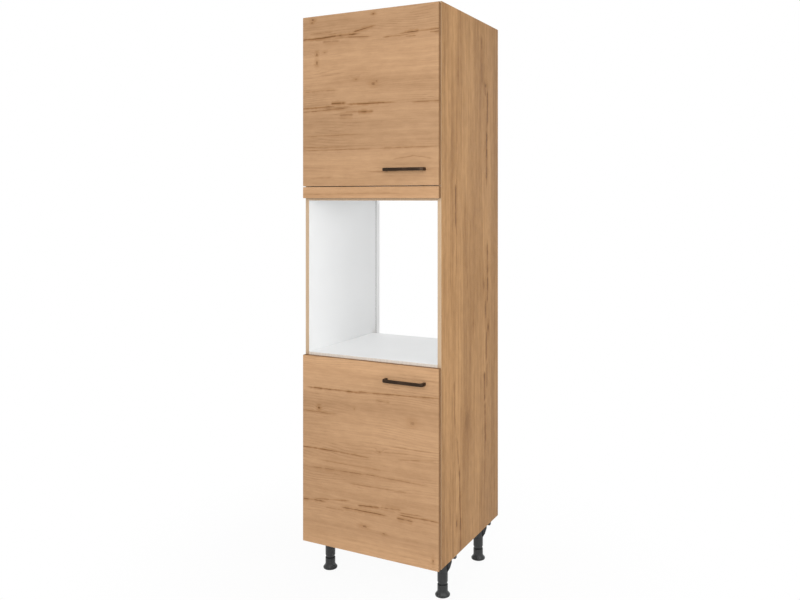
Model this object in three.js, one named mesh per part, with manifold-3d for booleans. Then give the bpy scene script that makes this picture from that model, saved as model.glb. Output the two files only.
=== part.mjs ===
// Tall oven housing unit: a 600 mm kitchen unit of faced board with a lower and an upper door, an
// open niche for a built-in oven between them, and four levelling legs.
// Millimetres, +Z up, doors facing -Y. The origin lies on the floor, under the middle of the unit
// with its handles.

import * as THREE from "three";
import { mergeVertices } from "three/addons/utils/BufferGeometryUtils.js";
import Module from "manifold-3d";

const wasm = await Module();
wasm.setup();

// ---- Driving dimensions: carcass ----
const carcass_width = 600;
const carcass_depth = 560;
const carcass_height = 2076;
const board = 16;
const leg_height = 150;
const joint_gap = 0.3;

// ---- How far a cut runs past a face, and how far two forms of one piece run into each other ----
const overrun = 1;

// ---- Heights above the underside of the carcass ----
const lower_door_height = 736;
const niche_floor_height = 746;
const niche_height = 601;
const filler_lift = 9;
const filler_height = 44;
const top_reveal = 6;

// ---- Backs and fixed shelves ----
const back_thickness = 3;
const back_inset = 30;
const groove_depth = 7;
const back_engagement = 6;
const vent_gap = 30;
const back_drop = 8;

// ---- Adjustable shelves ----
const shelf_setback = 20;
const shelf_side_clearance = 2;
const shelf_back_clearance = 6;
const lower_shelf_height = 370;
const upper_shelf_height = 1720;
const pin_radius = 2.4;
const pin_hole_radius = 2.7;
const pin_hole_depth = 10;
const pin_engagement = 9;
const pin_reach = 9;
const pin_collar_radius = 4;
const pin_collar_thickness = 1.2;
const pin_row_pitch = 32;
const pin_rows = 5;
const pin_column_inset = 37;
const pin_column_rear_inset = 70;

// ---- Doors and filler ----
const door_thickness = 19;
const door_gap = 3;
const door_standoff = 2;
const bumper_radius = 4;
const bumper_clearance = 0.3;
const bumper_inset = 20;

// ---- Handles ----
const handle_spacing = 160;
const handle_bar_height = 12;
const handle_bar_depth = 9;
const handle_post_width = 12;
const handle_projection = 30;
const handle_outer_radius = 13;
const handle_edge_round = 2.4;
const handle_side_inset = 57.5;
const handle_edge_inset = 60;
const handle_screw_hole_radius = 2.4;

// ---- Hinges: places are measured from the side panel's inner face and the carcass front ----
const hinge_end_inset = 100;
const hinge_opening = 95;
const hinge_link_turn = 39.54;
const hinge_link_angle = 101.15;
const hinge_axis = new THREE.Vector2(-9, -14);
const hinge_pivot = new THREE.Vector2(18.5, -7.6);
const hinge_guide = new THREE.Vector2(17.9, 0);
const hinge_guide_radius = 1.2;
const hinge_pivot_radius = 1.5;
const hinge_clearance = 0.3;
const link_play = 1.1;
const link_half_width = 3.7;
const link_thickness = 3;
const link_end_land = 2.4;
const cup_radius = 17.5;
const cup_depth = 12.5;
const cup_wall = 1.2;
const cup_edge_distance = 5.5;
const cup_flange_radius = 19.5;
const cup_flange_thickness = 1.1;
const cup_wing_spacing = 48;
const cup_wing_width = 16;
const cup_wing_land = 4;
const cup_wing_offset = 6;
const cup_seat_gap = 0.2;
const arm_sheet = 1.4;
const arm_inner_half_width = 8;
const arm_height = 28.8;
const arm_length = 64;
const arm_nose = 3.4;
const arm_nose_width = 7;
const arm_nose_relief = 0.5;
const arm_floor = 8;
const arm_web_start = 3;
const arm_shoulder = 2;
const plate_base = 2;
const plate_rib = 2;
const plate_rib_height = 14;
const plate_screw_inset = 37;
const plate_screw_pitch = 32;
const plate_screw_hole_radius = 2.6;
const plate_wing_width = 14;
const plate_length = 44;

// ---- Brackets ----
const bracket_sheet = 1.4;
const bracket_width = 30;
const bracket_leg = 30;
const filler_bracket_inset = 84;
const wall_bracket_inset = 44;

// ---- Legs: radii, and heights above the floor ----
const leg_side_inset = 46.5;
const leg_front_inset = 107;
const leg_rear_inset = 107;
const foot_sole_radius = 28.5;
const foot_sole_thickness = 6;
const foot_sole_round = 1.5;
const foot_flare_height = 19;
const leg_radius = 20;
const foot_cup_height = 43;
const foot_cup_recess_radius = 17.5;
const foot_cup_recess_depth = 16;
const foot_stem_radius = 12;
const foot_stem_height = 112;
const tube_foot_radius = 16.5;
const tube_bottom = 38;
const tube_taper_start = 46;
const tube_taper_end = 54.5;
const tube_bore_radius = 12.5;
const tube_plug_radius = 17;
const socket_bottom = 92;
const socket_bore_radius = 17.4;
const socket_radius = 21;
const socket_plate_thickness = 5;
const socket_plate_radius = 38;
const socket_rib_thickness = 4;
const socket_rib_head_drop = 18;
const socket_rib_knee_drop = 42;
const socket_rib_knee_radius = 30.5;
const socket_ear_width = 14;
const socket_ear_thickness = 10;
const socket_ear_offset = 21;
const socket_screw_radius = 2.4;
const socket_screw_circle = 30;

// ---- Smoothness of round forms ----
const round_segments = 20;
const hole_segments = 8;

// ---- Derived sizes ----
const inner_half_width = carcass_width / 2 - board;
const inner_width = 2 * inner_half_width;
const groove_front = carcass_depth - back_inset - back_thickness - joint_gap;
const groove_width = back_thickness + 2 * joint_gap;
const back_front = groove_front + joint_gap;
const door_width = carcass_width - door_gap;
const door_back = -door_standoff;
const door_front = -door_standoff - door_thickness;
const front_reach = door_standoff + door_thickness + handle_projection;
const niche_ceiling = niche_floor_height + niche_height;
const filler_bottom = niche_ceiling + filler_lift;
const upper_door_bottom = filler_bottom + filler_height + door_gap;
const upper_door_height = carcass_height - top_reveal - upper_door_bottom;
const cup_centre_x = cup_edge_distance + cup_radius + door_gap / 2 - board;
const radians = THREE.MathUtils.degToRad;

// ---- Solids: cutting, joining and basic forms ----

// A closed geometry as a solid that can be cut and joined.
function solid(geometry) {
  const bare = geometry.clone();
  bare.deleteAttribute("normal");
  bare.deleteAttribute("uv");
  const merged = mergeVertices(bare, 1e-4);
  return new wasm.Manifold(
    new wasm.Mesh({
      numProp: 3,
      vertProperties: merged.attributes.position.array,
      triVerts: new Uint32Array(merged.index.array),
    }),
  );
}

// A solid back as a geometry.
function surface(made) {
  const mesh = made.getMesh();
  const geometry = new THREE.BufferGeometry();
  geometry.setAttribute("position", new THREE.BufferAttribute(mesh.vertProperties, 3));
  geometry.setIndex(new THREE.BufferAttribute(mesh.triVerts, 1));
  geometry.computeVertexNormals();
  return geometry;
}

// A block between two corners.
function block(x0, x1, y0, y1, z0, z1) {
  const geometry = new THREE.BoxGeometry(x1 - x0, y1 - y0, z1 - z0);
  geometry.translate((x0 + x1) / 2, (y0 + y1) / 2, (z0 + z1) / 2);
  return geometry;
}

// A round bar along X, Y or Z, from one end of it to the other.
function bar(axis, radius, from, to, segments) {
  const geometry = new THREE.CylinderGeometry(radius, radius, to - from, segments);
  geometry.translate(0, (from + to) / 2, 0);
  if (axis === "z") {
    geometry.rotateX(Math.PI / 2);
  }
  if (axis === "x") {
    geometry.rotateZ(-Math.PI / 2);
  }
  return geometry;
}

// A round form about Z from a profile of [radius, height] points that runs up the outside.
function turned(profile, segments) {
  const points = profile.map(([radius, height]) => new THREE.Vector2(radius, height));
  const geometry = new THREE.LatheGeometry(points, segments);
  geometry.rotateX(Math.PI / 2);
  return geometry;
}

// A flat outline in the XY plane, given thickness from one height to another.
function slab(shape, from, to, curve_segments) {
  const geometry = new THREE.ExtrudeGeometry(shape, {
    depth: to - from,
    bevelEnabled: false,
    curveSegments: curve_segments,
  });
  geometry.translate(0, 0, from);
  return geometry;
}

// A straight-sided outline.
function polygon(points) {
  return new THREE.Shape(points.map(([x, y]) => new THREE.Vector2(x, y)));
}

// ---- Materials ----
const finish = (color, roughness, metalness) => {
  return new THREE.MeshStandardMaterial({ color, roughness, metalness });
};
const oak_front = () => finish(0xc29873, 0.55, 0);
const oak_side = () => finish(0xae8760, 0.55, 0);
const white_board = () => finish(0xe8e8e6, 0.5, 0);
const dark_bronze = () => finish(0x3a322b, 0.35, 0.7);
const nickel = () => finish(0xb8b8b4, 0.3, 1);
const zinc = () => finish(0xa9aaa8, 0.4, 1);
const black_plastic = () => finish(0x3c3c3e, 0.55, 0);
const clear_plastic = () => finish(0xd8dadb, 0.4, 0);

// Adds one named sub-part to a group.
function add(group, name, geometry, material) {
  const mesh = new THREE.Mesh(geometry, material);
  mesh.name = name;
  group.add(mesh);
  return mesh;
}

// ---- Carcass ----

// Heights of the five pin holes round an adjustable shelf.
function pin_rows_at(shelf_height) {
  const middle = (pin_rows - 1) / 2;
  return Array.from({ length: pin_rows }, (_, i) => {
    return shelf_height - pin_radius - joint_gap + (i - middle) * pin_row_pitch;
  });
}

const pin_columns = [pin_column_inset, carcass_depth - back_inset - pin_column_rear_inset];
const hinge_heights = [
  hinge_end_inset,
  lower_door_height - hinge_end_inset,
  upper_door_bottom + hinge_end_inset,
  upper_door_bottom + upper_door_height - hinge_end_inset,
];

// A side panel: back groove and shelf pin holes inside, and on the hinge side the plate holes.
function side_panel(side) {
  const inner = side * inner_half_width;
  const outer = (side * carcass_width) / 2;
  const left = Math.min(inner, outer);
  const right = Math.max(inner, outer);
  let made = solid(block(left, right, 0, carcass_depth, 0, carcass_height));
  const mouth = inner - side * overrun;
  const groove_floor = inner + side * groove_depth;
  const groove = block(
    Math.min(groove_floor, mouth),
    Math.max(groove_floor, mouth),
    groove_front,
    groove_front + groove_width,
    -overrun,
    carcass_height + overrun,
  );
  made = made.subtract(solid(groove));
  const hole = (y, z, radius) => {
    const hole_floor = inner + side * pin_hole_depth;
    const from = Math.min(mouth, hole_floor);
    const to = Math.max(mouth, hole_floor);
    const drill = bar("x", radius, from, to, hole_segments);
    drill.translate(0, y, z);
    made = made.subtract(solid(drill));
  };
  for (const shelf_height of [lower_shelf_height, upper_shelf_height]) {
    for (const z of pin_rows_at(shelf_height)) {
      pin_columns.forEach((y) => hole(y, z, pin_hole_radius));
    }
  }
  if (side < 0) {
    for (const z of hinge_heights) {
      hole(plate_screw_inset, z - plate_screw_pitch / 2, plate_screw_hole_radius);
      hole(plate_screw_inset, z + plate_screw_pitch / 2, plate_screw_hole_radius);
    }
  }
  return surface(made);
}

// The bottom or top panel between the sides, with the back groove in the face turned inwards.
function end_panel(z0, groove_up) {
  const half = inner_half_width - joint_gap;
  const board_solid = solid(block(-half, half, 0, carcass_depth, z0, z0 + board));
  const groove_floor = groove_up ? z0 + board - groove_depth : z0 + groove_depth;
  const groove_mouth = groove_up ? z0 + board + overrun : z0 - overrun;
  const groove = block(
    -half - overrun,
    half + overrun,
    groove_front,
    groove_front + groove_width,
    Math.min(groove_floor, groove_mouth),
    Math.max(groove_floor, groove_mouth),
  );
  return surface(board_solid.subtract(solid(groove)));
}

// A fixed shelf of the niche, cut back behind for the air that rises behind the oven.
function fixed_shelf(z0) {
  const half = inner_half_width - joint_gap;
  return block(-half, half, 0, back_front - vent_gap, z0, z0 + board);
}

// A thin back in the side grooves and in the groove of one end panel.
function back_panel(z0, z1) {
  const half = inner_half_width + back_engagement;
  return block(-half, half, back_front, back_front + back_thickness, z0, z1);
}

function adjustable_shelf(z0) {
  const half = inner_half_width - shelf_side_clearance;
  return block(-half, half, shelf_setback, back_front - shelf_back_clearance, z0, z0 + board);
}

// A shelf pin lying along X with its peg in the side panel and its collar against the wall.
function shelf_pin(side) {
  const profile = [
    [0, -pin_engagement],
    [pin_radius, -pin_engagement],
    [pin_radius, joint_gap],
    [pin_collar_radius, joint_gap],
    [pin_collar_radius, joint_gap + pin_collar_thickness],
    [pin_radius, joint_gap + pin_collar_thickness],
    [pin_radius, pin_reach],
    [0, pin_reach],
  ];
  const geometry = turned(profile, hole_segments);
  geometry.rotateY((-side * Math.PI) / 2);
  return geometry;
}

function filler_strip() {
  const half = door_width / 2;
  return block(-half, half, door_front, door_back, filler_bottom, filler_bottom + filler_height);
}

// An angle of steel sheet with its corner at the origin: one leg runs back or forwards along Y,
// the other up or down along Z.
function angle_bracket(y_way, z_way, y_leg, z_leg) {
  const span = (way, from, to) => [Math.min(way * from, way * to), Math.max(way * from, way * to)];
  const flat = [...span(y_way, 0, y_leg), ...span(z_way, 0, bracket_sheet)];
  const upright = [...span(y_way, 0, bracket_sheet), ...span(z_way, 0, z_leg)];
  const half = bracket_width / 2;
  const made = solid(block(-half, half, ...flat)).add(solid(block(-half, half, ...upright)));
  return surface(made);
}

// ---- Doors ----

// A door with its cup bores and handle holes, at its place in front of the carcass.
function door(z0, height, hinges, handle_height) {
  const half = door_width / 2;
  let made = solid(block(-half, half, door_front, door_back, z0, z0 + height));
  const bore_radius = cup_radius + hinge_clearance;
  for (const z of hinges) {
    const bore_floor = door_back - cup_depth - hinge_clearance;
    const bore = bar("y", bore_radius, bore_floor, door_back + overrun, round_segments);
    bore.translate(cup_centre_x - inner_half_width, 0, z);
    made = made.subtract(solid(bore));
  }
  for (const way of [-1, 1]) {
    const hole_span = [door_front - overrun, door_back + overrun];
    const hole = bar("y", handle_screw_hole_radius, ...hole_span, hole_segments);
    hole.translate(handle_centre_x() + (way * handle_spacing) / 2, 0, handle_height);
    made = made.subtract(solid(hole));
  }
  return surface(made);
}

function handle_centre_x() {
  return door_width / 2 - handle_side_inset - handle_spacing / 2;
}

// A bow handle: a bar that turns back to the door in a round corner at each end.
function handle() {
  const half = handle_spacing / 2 + handle_post_width / 2;
  const inner_half = half - handle_post_width;
  const inner_y = -handle_projection + handle_bar_depth;
  const inner_radius = handle_outer_radius - handle_bar_depth;
  const foot = -joint_gap;
  const bow = new THREE.Shape();
  bow.moveTo(-half, foot);
  bow.lineTo(-half, -handle_projection + handle_outer_radius);
  bow.absarc(
    -half + handle_outer_radius,
    -handle_projection + handle_outer_radius,
    handle_outer_radius,
    Math.PI,
    1.5 * Math.PI,
    false,
  );
  bow.lineTo(half - handle_outer_radius, -handle_projection);
  bow.absarc(
    half - handle_outer_radius,
    -handle_projection + handle_outer_radius,
    handle_outer_radius,
    1.5 * Math.PI,
    2 * Math.PI,
    false,
  );
  bow.lineTo(half, foot);
  bow.lineTo(inner_half, foot);
  bow.lineTo(inner_half, inner_y + inner_radius);
  bow.absarc(
    inner_half - inner_radius,
    inner_y + inner_radius,
    inner_radius,
    0,
    -Math.PI / 2,
    true,
  );
  bow.lineTo(-inner_half + inner_radius, inner_y);
  bow.absarc(
    -inner_half + inner_radius,
    inner_y + inner_radius,
    inner_radius,
    -Math.PI / 2,
    -Math.PI,
    true,
  );
  bow.lineTo(-inner_half, foot);
  bow.closePath();
  const geometry = new THREE.ExtrudeGeometry(bow, {
    depth: handle_bar_height - 2 * handle_edge_round,
    bevelEnabled: true,
    bevelThickness: handle_edge_round,
    bevelSize: handle_edge_round,
    bevelOffset: -handle_edge_round,
    bevelSegments: 2,
    curveSegments: 5,
  });
  geometry.translate(0, 0, -handle_bar_height / 2 + handle_edge_round);
  const keep_half = half + overrun;
  const keep_front = -handle_projection - overrun;
  const keep = block(-keep_half, keep_half, keep_front, foot, -handle_bar_height, handle_bar_height);
  return surface(solid(geometry).intersect(solid(keep)));
}

// A soft pad on the back of a door, over the front edge of the side panel.
function bumper() {
  return bar("y", bumper_radius, door_back + bumper_clearance / 2, -bumper_clearance, hole_segments);
}

// ---- Hinge ----

// The place of a door point, measured as the hinge's own, when the door is open.
function opened(point) {
  return point.clone().rotateAround(hinge_axis, radians(-hinge_opening));
}

// How far the guide pin lies along the link from its pivot, with the door shut and open.
function link_travel() {
  const shut = radians(hinge_link_angle);
  const open = radians(hinge_link_angle - hinge_link_turn);
  const along = (from, angle) => {
    const run = hinge_guide.clone().sub(from);
    return run.x * Math.cos(angle) + run.y * Math.sin(angle);
  };
  return [along(hinge_pivot, shut), along(opened(hinge_pivot), open)];
}

// A flat bar with an eye for the cup's pin and a long slot for the arm's pin.
function hinge_link() {
  const [near, far] = link_travel();
  const slot_half = hinge_guide_radius + link_play;
  const slot_start = near - slot_half;
  const slot_end = far + slot_half;
  const end = slot_end + link_end_land;
  const outline = new THREE.Shape();
  outline.absarc(0, 0, link_half_width, Math.PI / 2, 1.5 * Math.PI, false);
  outline.lineTo(end - link_half_width, -link_half_width);
  outline.absarc(end - link_half_width, 0, link_half_width, -Math.PI / 2, Math.PI / 2, false);
  outline.closePath();
  const eye = new THREE.Path();
  eye.absarc(0, 0, hinge_pivot_radius + hinge_clearance, 0, 2 * Math.PI, true);
  const slot = new THREE.Path();
  slot.absarc(slot_start + slot_half, 0, slot_half, Math.PI / 2, 1.5 * Math.PI, false);
  slot.absarc(slot_end - slot_half, 0, slot_half, -Math.PI / 2, Math.PI / 2, false);
  slot.closePath();
  outline.holes.push(eye, slot);
  const geometry = slab(outline, -link_thickness / 2, link_thickness / 2, 6);
  geometry.rotateZ(radians(hinge_link_angle));
  geometry.translate(hinge_pivot.x, hinge_pivot.y, 0);
  return geometry;
}

// A drawn steel cup in the door, with its flange, two wings and the pin that the link turns on.
function hinge_cup() {
  const inner = cup_radius - cup_wall;
  const seat = cup_seat_gap;
  const rim = seat + cup_flange_thickness;
  const profile = [
    [0, -cup_depth],
    [cup_radius, -cup_depth],
    [cup_radius, seat],
    [cup_flange_radius, seat],
    [cup_flange_radius, rim],
    [inner, rim],
    [inner, -cup_depth + cup_wall],
    [0, -cup_depth + cup_wall],
  ];
  const shell = turned(profile, round_segments);
  const wing_half = cup_wing_spacing / 2 + cup_wing_land;
  const wings = block(
    cup_wing_offset - cup_wing_width / 2,
    cup_wing_offset + cup_wing_width / 2,
    -wing_half,
    wing_half,
    seat,
    rim,
  );
  const mouth = bar("z", inner, seat - overrun, rim + overrun, round_segments);
  const pin_far_side = hinge_pivot.x - cup_centre_x + hinge_pivot_radius;
  const reach = Math.sqrt((cup_radius - cup_wall / 2) ** 2 - pin_far_side ** 2);
  const pin = bar("y", hinge_pivot_radius, -reach, reach, hole_segments);
  pin.translate(hinge_pivot.x - cup_centre_x, 0, hinge_pivot.y - door_back);
  const cup = solid(wings).subtract(solid(mouth)).add(solid(shell)).add(solid(pin));
  const geometry = surface(cup);
  geometry.rotateX(-Math.PI / 2);
  geometry.translate(cup_centre_x, door_back, 0);
  return geometry;
}

// The arm: a channel of folded sheet that clips over the plate, with the guide pin in its nose.
function hinge_arm() {
  const outer = arm_inner_half_width + arm_sheet;
  const nose_left = hinge_guide.x - arm_nose_width / 2;
  const nose_right = hinge_guide.x + arm_nose_width / 2 - arm_nose_relief;
  const cheek = polygon([
    [nose_left, -arm_nose],
    [nose_right, -arm_nose],
    [nose_right, arm_web_start - arm_shoulder],
    [arm_height, arm_web_start],
    [arm_height, arm_length],
    [arm_floor, arm_length],
    [arm_floor, arm_web_start + arm_shoulder],
    [nose_left, arm_web_start],
  ]);
  const lower = solid(slab(cheek, -outer, -arm_inner_half_width, 1));
  const upper = solid(slab(cheek, arm_inner_half_width, outer, 1));
  const web = solid(block(arm_height - arm_sheet, arm_height, arm_web_start, arm_length, -outer, outer));
  const pin_half = arm_inner_half_width + arm_sheet / 2;
  const pin = bar("z", hinge_guide_radius, -pin_half, pin_half, hole_segments);
  pin.translate(hinge_guide.x, hinge_guide.y, 0);
  return surface(lower.add(upper).add(web).add(solid(pin)));
}

// The mounting plate: a cross on the side panel with two ribs that carry the arm.
function hinge_plate() {
  const seat = joint_gap;
  const face = seat + plate_base;
  const rib_outer = arm_inner_half_width - joint_gap;
  const start = plate_screw_inset - plate_length / 2;
  const end = plate_screw_inset + plate_length / 2;
  const wing_half = plate_screw_pitch / 2 + plate_wing_width / 2;
  const wing_side = plate_wing_width / 2;
  const wing = block(
    seat,
    face,
    plate_screw_inset - wing_side,
    plate_screw_inset + wing_side,
    -wing_half,
    wing_half,
  );
  const spine = block(seat, face, start, end, -rib_outer, rib_outer);
  let made = solid(wing).add(solid(spine));
  for (const way of [-1, 1]) {
    const near = Math.min(way * rib_outer, way * (rib_outer - plate_rib));
    const far = Math.max(way * rib_outer, way * (rib_outer - plate_rib));
    made = made.add(solid(block(seat, plate_rib_height, start, end, near, far)));
    const hole = bar("x", plate_screw_hole_radius, seat - overrun, face + overrun, hole_segments);
    hole.translate(0, plate_screw_inset, (way * plate_screw_pitch) / 2);
    made = made.subtract(solid(hole));
  }
  return surface(made);
}

// ---- Legs ----

// The levelling foot: sole, flare and cup, with the threaded stem that turns in the tube.
function leg_foot() {
  const recess_floor = foot_cup_height - foot_cup_recess_depth;
  const profile = [
    [0, 0],
    [foot_sole_radius - foot_sole_round, 0],
    [foot_sole_radius, foot_sole_round],
    [foot_sole_radius, foot_sole_thickness],
    [leg_radius, foot_flare_height],
    [leg_radius, foot_cup_height],
    [foot_cup_recess_radius, foot_cup_height],
    [foot_cup_recess_radius, recess_floor],
    [foot_stem_radius, recess_floor],
    [foot_stem_radius, foot_stem_height],
    [0, foot_stem_height],
  ];
  return turned(profile, round_segments);
}

// The leg tube: a tapered end in the foot's cup, the round leg, and a plug in the socket.
function leg_tube() {
  const plug_top = leg_height - socket_plate_thickness - 2 * joint_gap;
  const profile = [
    [tube_bore_radius, tube_bottom],
    [tube_foot_radius, tube_bottom],
    [tube_foot_radius, tube_taper_start],
    [leg_radius, tube_taper_end],
    [leg_radius, socket_bottom - joint_gap],
    [tube_plug_radius, socket_bottom - joint_gap],
    [tube_plug_radius, plug_top],
    [tube_bore_radius, plug_top],
    [tube_bore_radius, tube_bottom],
  ];
  return turned(profile, round_segments);
}

// The socket under the bottom panel: a plate, a collar, four ribs and an ear that carries the
// side panel.
function leg_socket() {
  const top = leg_height - joint_gap;
  const plate_floor = top - socket_plate_thickness;
  const collar = turned(
    [
      [socket_bore_radius, socket_bottom],
      [socket_radius, socket_bottom],
      [socket_radius, plate_floor + overrun],
      [socket_bore_radius, plate_floor + overrun],
      [socket_bore_radius, socket_bottom],
    ],
    round_segments,
  );
  const plate = bar("z", socket_plate_radius, plate_floor, top, round_segments);
  const ear_reach = leg_side_inset - joint_gap;
  const ear = block(
    ear_reach - socket_ear_width,
    ear_reach,
    socket_ear_offset - socket_ear_width / 2,
    socket_ear_offset + socket_ear_width / 2,
    top - socket_ear_thickness,
    top,
  );
  let made = solid(collar).add(solid(plate)).add(solid(ear));
  const rib = polygon([
    [socket_bore_radius + overrun, socket_bottom],
    [socket_radius, socket_bottom],
    [socket_rib_knee_radius, leg_height - socket_rib_knee_drop],
    [socket_plate_radius, leg_height - socket_rib_head_drop],
    [socket_plate_radius, plate_floor + overrun],
    [socket_bore_radius + overrun, plate_floor + overrun],
  ]);
  for (let quarter = 0; quarter < 4; quarter += 1) {
    const fin = slab(rib, -socket_rib_thickness / 2, socket_rib_thickness / 2, 1);
    fin.rotateX(Math.PI / 2);
    fin.rotateZ((quarter * Math.PI) / 2);
    made = made.add(solid(fin));
    const hole = bar("z", socket_screw_radius, plate_floor - overrun, top + overrun, hole_segments);
    hole.translate(socket_screw_circle, 0, 0);
    hole.rotateZ(((quarter + 0.5) * Math.PI) / 2);
    made = made.subtract(solid(hole));
  }
  return surface(made);
}

// ---- Assembly ----
const unit = new THREE.Group();
unit.position.y = (front_reach - carcass_depth) / 2;

const carcass = new THREE.Group();
carcass.position.z = leg_height;
unit.add(carcass);

add(carcass, "side_panel_left", side_panel(-1), oak_side());
add(carcass, "side_panel_right", side_panel(1), oak_side());
add(carcass, "bottom_panel", end_panel(0, true), white_board());
add(carcass, "top_panel", end_panel(carcass_height - board, false), white_board());
add(carcass, "niche_floor_shelf", fixed_shelf(niche_floor_height - board), white_board());
add(carcass, "niche_top_shelf", fixed_shelf(niche_ceiling), white_board());

const groove_bottom = board - back_engagement;
const groove_top = carcass_height - board + back_engagement;
const lower_back = back_panel(groove_bottom, niche_floor_height - back_drop);
const upper_back = back_panel(niche_ceiling + back_drop, groove_top);
add(carcass, "lower_back_panel", lower_back, white_board());
add(carcass, "upper_back_panel", upper_back, white_board());

for (const [level, height] of [
  ["lower", lower_shelf_height],
  ["upper", upper_shelf_height],
]) {
  add(carcass, `${level}_adjustable_shelf`, adjustable_shelf(height), white_board());
  for (const [side_name, side] of [
    ["left", -1],
    ["right", 1],
  ]) {
    ["front", "rear"].forEach((row, column) => {
      const pin = add(carcass, `${level}_shelf_pin_${row}_${side_name}`, shelf_pin(side), nickel());
      const pin_height = height - pin_radius - joint_gap;
      pin.position.set(side * inner_half_width, pin_columns[column], pin_height);
    });
  }
}

add(carcass, "filler_strip", filler_strip(), oak_front());
for (const [side_name, side] of [
  ["left", -1],
  ["right", 1],
]) {
  const filler_leg = filler_height - filler_lift - board / 2;
  const holder = angle_bracket(1, 1, bracket_leg, filler_leg);
  const filler_bracket = add(carcass, `filler_bracket_${side_name}`, holder, zinc());
  filler_bracket.position.set(
    side * (inner_half_width - filler_bracket_inset),
    door_back + joint_gap,
    niche_ceiling + board + joint_gap,
  );
  const guard = angle_bracket(-1, -1, bracket_leg, bracket_leg);
  const wall_bracket = add(carcass, `wall_bracket_${side_name}`, guard, zinc());
  wall_bracket.position.set(
    side * (inner_half_width - wall_bracket_inset),
    back_front - joint_gap,
    carcass_height - board - joint_gap,
  );
}

// Each door carries its handle, its bumpers and the cups of its two hinges.
for (const [level, z0, height, handle_height, hinges] of [
  [
    "lower",
    0,
    lower_door_height,
    lower_door_height - handle_edge_inset,
    hinge_heights.slice(0, 2),
  ],
  [
    "upper",
    upper_door_bottom,
    upper_door_height,
    upper_door_bottom + handle_edge_inset,
    hinge_heights.slice(2),
  ],
]) {
  add(carcass, `${level}_door`, door(z0, height, hinges, handle_height), oak_front());
  const pull = add(carcass, `${level}_handle`, handle(), dark_bronze());
  pull.position.set(handle_centre_x(), door_front, handle_height);
  ["bottom", "top"].forEach((end, i) => {
    const pad = add(carcass, `${level}_bumper_${end}`, bumper(), clear_plastic());
    const pad_height = i === 0 ? z0 + bumper_inset : z0 + height - bumper_inset;
    pad.position.set(inner_half_width + board / 2, 0, pad_height);
    const hinge = new THREE.Group();
    hinge.position.set(-inner_half_width, 0, hinges[i]);
    carcass.add(hinge);
    add(hinge, `${level}_hinge_plate_${end}`, hinge_plate(), nickel());
    add(hinge, `${level}_hinge_arm_${end}`, hinge_arm(), nickel());
    add(hinge, `${level}_hinge_link_${end}`, hinge_link(), nickel());
    add(hinge, `${level}_hinge_cup_${end}`, hinge_cup(), nickel());
  });
}

for (const [side_name, side] of [
  ["left", -1],
  ["right", 1],
]) {
  for (const [row, y] of [
    ["front", leg_front_inset],
    ["rear", carcass_depth - leg_rear_inset],
  ]) {
    const leg = new THREE.Group();
    leg.position.set(side * (carcass_width / 2 - leg_side_inset), y, 0);
    unit.add(leg);
    const socket = add(leg, `leg_socket_${row}_${side_name}`, leg_socket(), black_plastic());
    socket.rotation.z = side < 0 ? Math.PI : 0;
    add(leg, `leg_tube_${row}_${side_name}`, leg_tube(), black_plastic());
    add(leg, `leg_foot_${row}_${side_name}`, leg_foot(), black_plastic());
  }
}

export default unit;
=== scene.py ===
"""Looks of a tall oven housing unit: oak-faced fronts and sides, white inside, bow handles,
concealed hinges and levelling legs. Lengths are in metres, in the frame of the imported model."""

import math
from itertools import product

import bmesh
import bpy
from mathutils import Matrix, Vector


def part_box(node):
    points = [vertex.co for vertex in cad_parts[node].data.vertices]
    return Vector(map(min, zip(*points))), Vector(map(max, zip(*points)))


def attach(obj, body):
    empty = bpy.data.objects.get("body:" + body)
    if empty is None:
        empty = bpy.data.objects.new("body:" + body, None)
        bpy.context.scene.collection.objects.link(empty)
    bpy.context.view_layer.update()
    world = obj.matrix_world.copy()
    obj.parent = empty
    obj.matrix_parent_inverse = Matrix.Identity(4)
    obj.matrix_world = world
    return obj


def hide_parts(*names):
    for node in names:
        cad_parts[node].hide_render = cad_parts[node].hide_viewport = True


bl_info = {
    "name": "Tall Oven Housing Unit",
    "version": (1, 0, 0),
    "blender": (4, 5, 0),
    "location": "3D View > Sidebar > Oven Unit",
    "description": "Dresses the solids of a tall kitchen unit for a built-in oven",
    "category": "Object",
}

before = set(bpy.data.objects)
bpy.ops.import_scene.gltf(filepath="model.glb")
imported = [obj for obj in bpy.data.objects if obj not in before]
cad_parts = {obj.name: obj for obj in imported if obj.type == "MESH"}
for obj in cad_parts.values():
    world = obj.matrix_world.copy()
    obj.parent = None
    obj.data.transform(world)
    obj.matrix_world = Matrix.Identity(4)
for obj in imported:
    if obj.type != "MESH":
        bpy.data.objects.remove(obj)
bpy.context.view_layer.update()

LEVELS = ("lower", "upper")
ENDS = ("bottom", "top")
SIDES = {"left": -1, "right": 1}
ROWS = ("front", "rear")
MM = 0.001
TOUCH = 0.01 * MM
QUARTER = math.pi / 2


# ---- Settings ---------------------------------------------------------------------------------


def length(name, default, description, top=0.1):
    """A length property in metres."""
    return bpy.props.FloatProperty(
        name=name, description=description, default=default, min=0.0, max=top, unit="LENGTH"
    )


def share(name, default, description):
    """A property from 0 to 1."""
    return bpy.props.FloatProperty(
        name=name, description=description, default=default, min=0.0, max=1.0, subtype="FACTOR"
    )


def colour(name, default, description):
    """A colour property, in scene-linear values."""
    return bpy.props.FloatVectorProperty(
        name=name,
        description=description,
        default=default,
        min=0.0,
        max=1.0,
        size=3,
        subtype="COLOR",
    )


def power(name, default, description):
    """A lamp's power in watts."""
    return bpy.props.FloatProperty(
        name=name, description=description, default=default, unit="POWER"
    )


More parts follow.
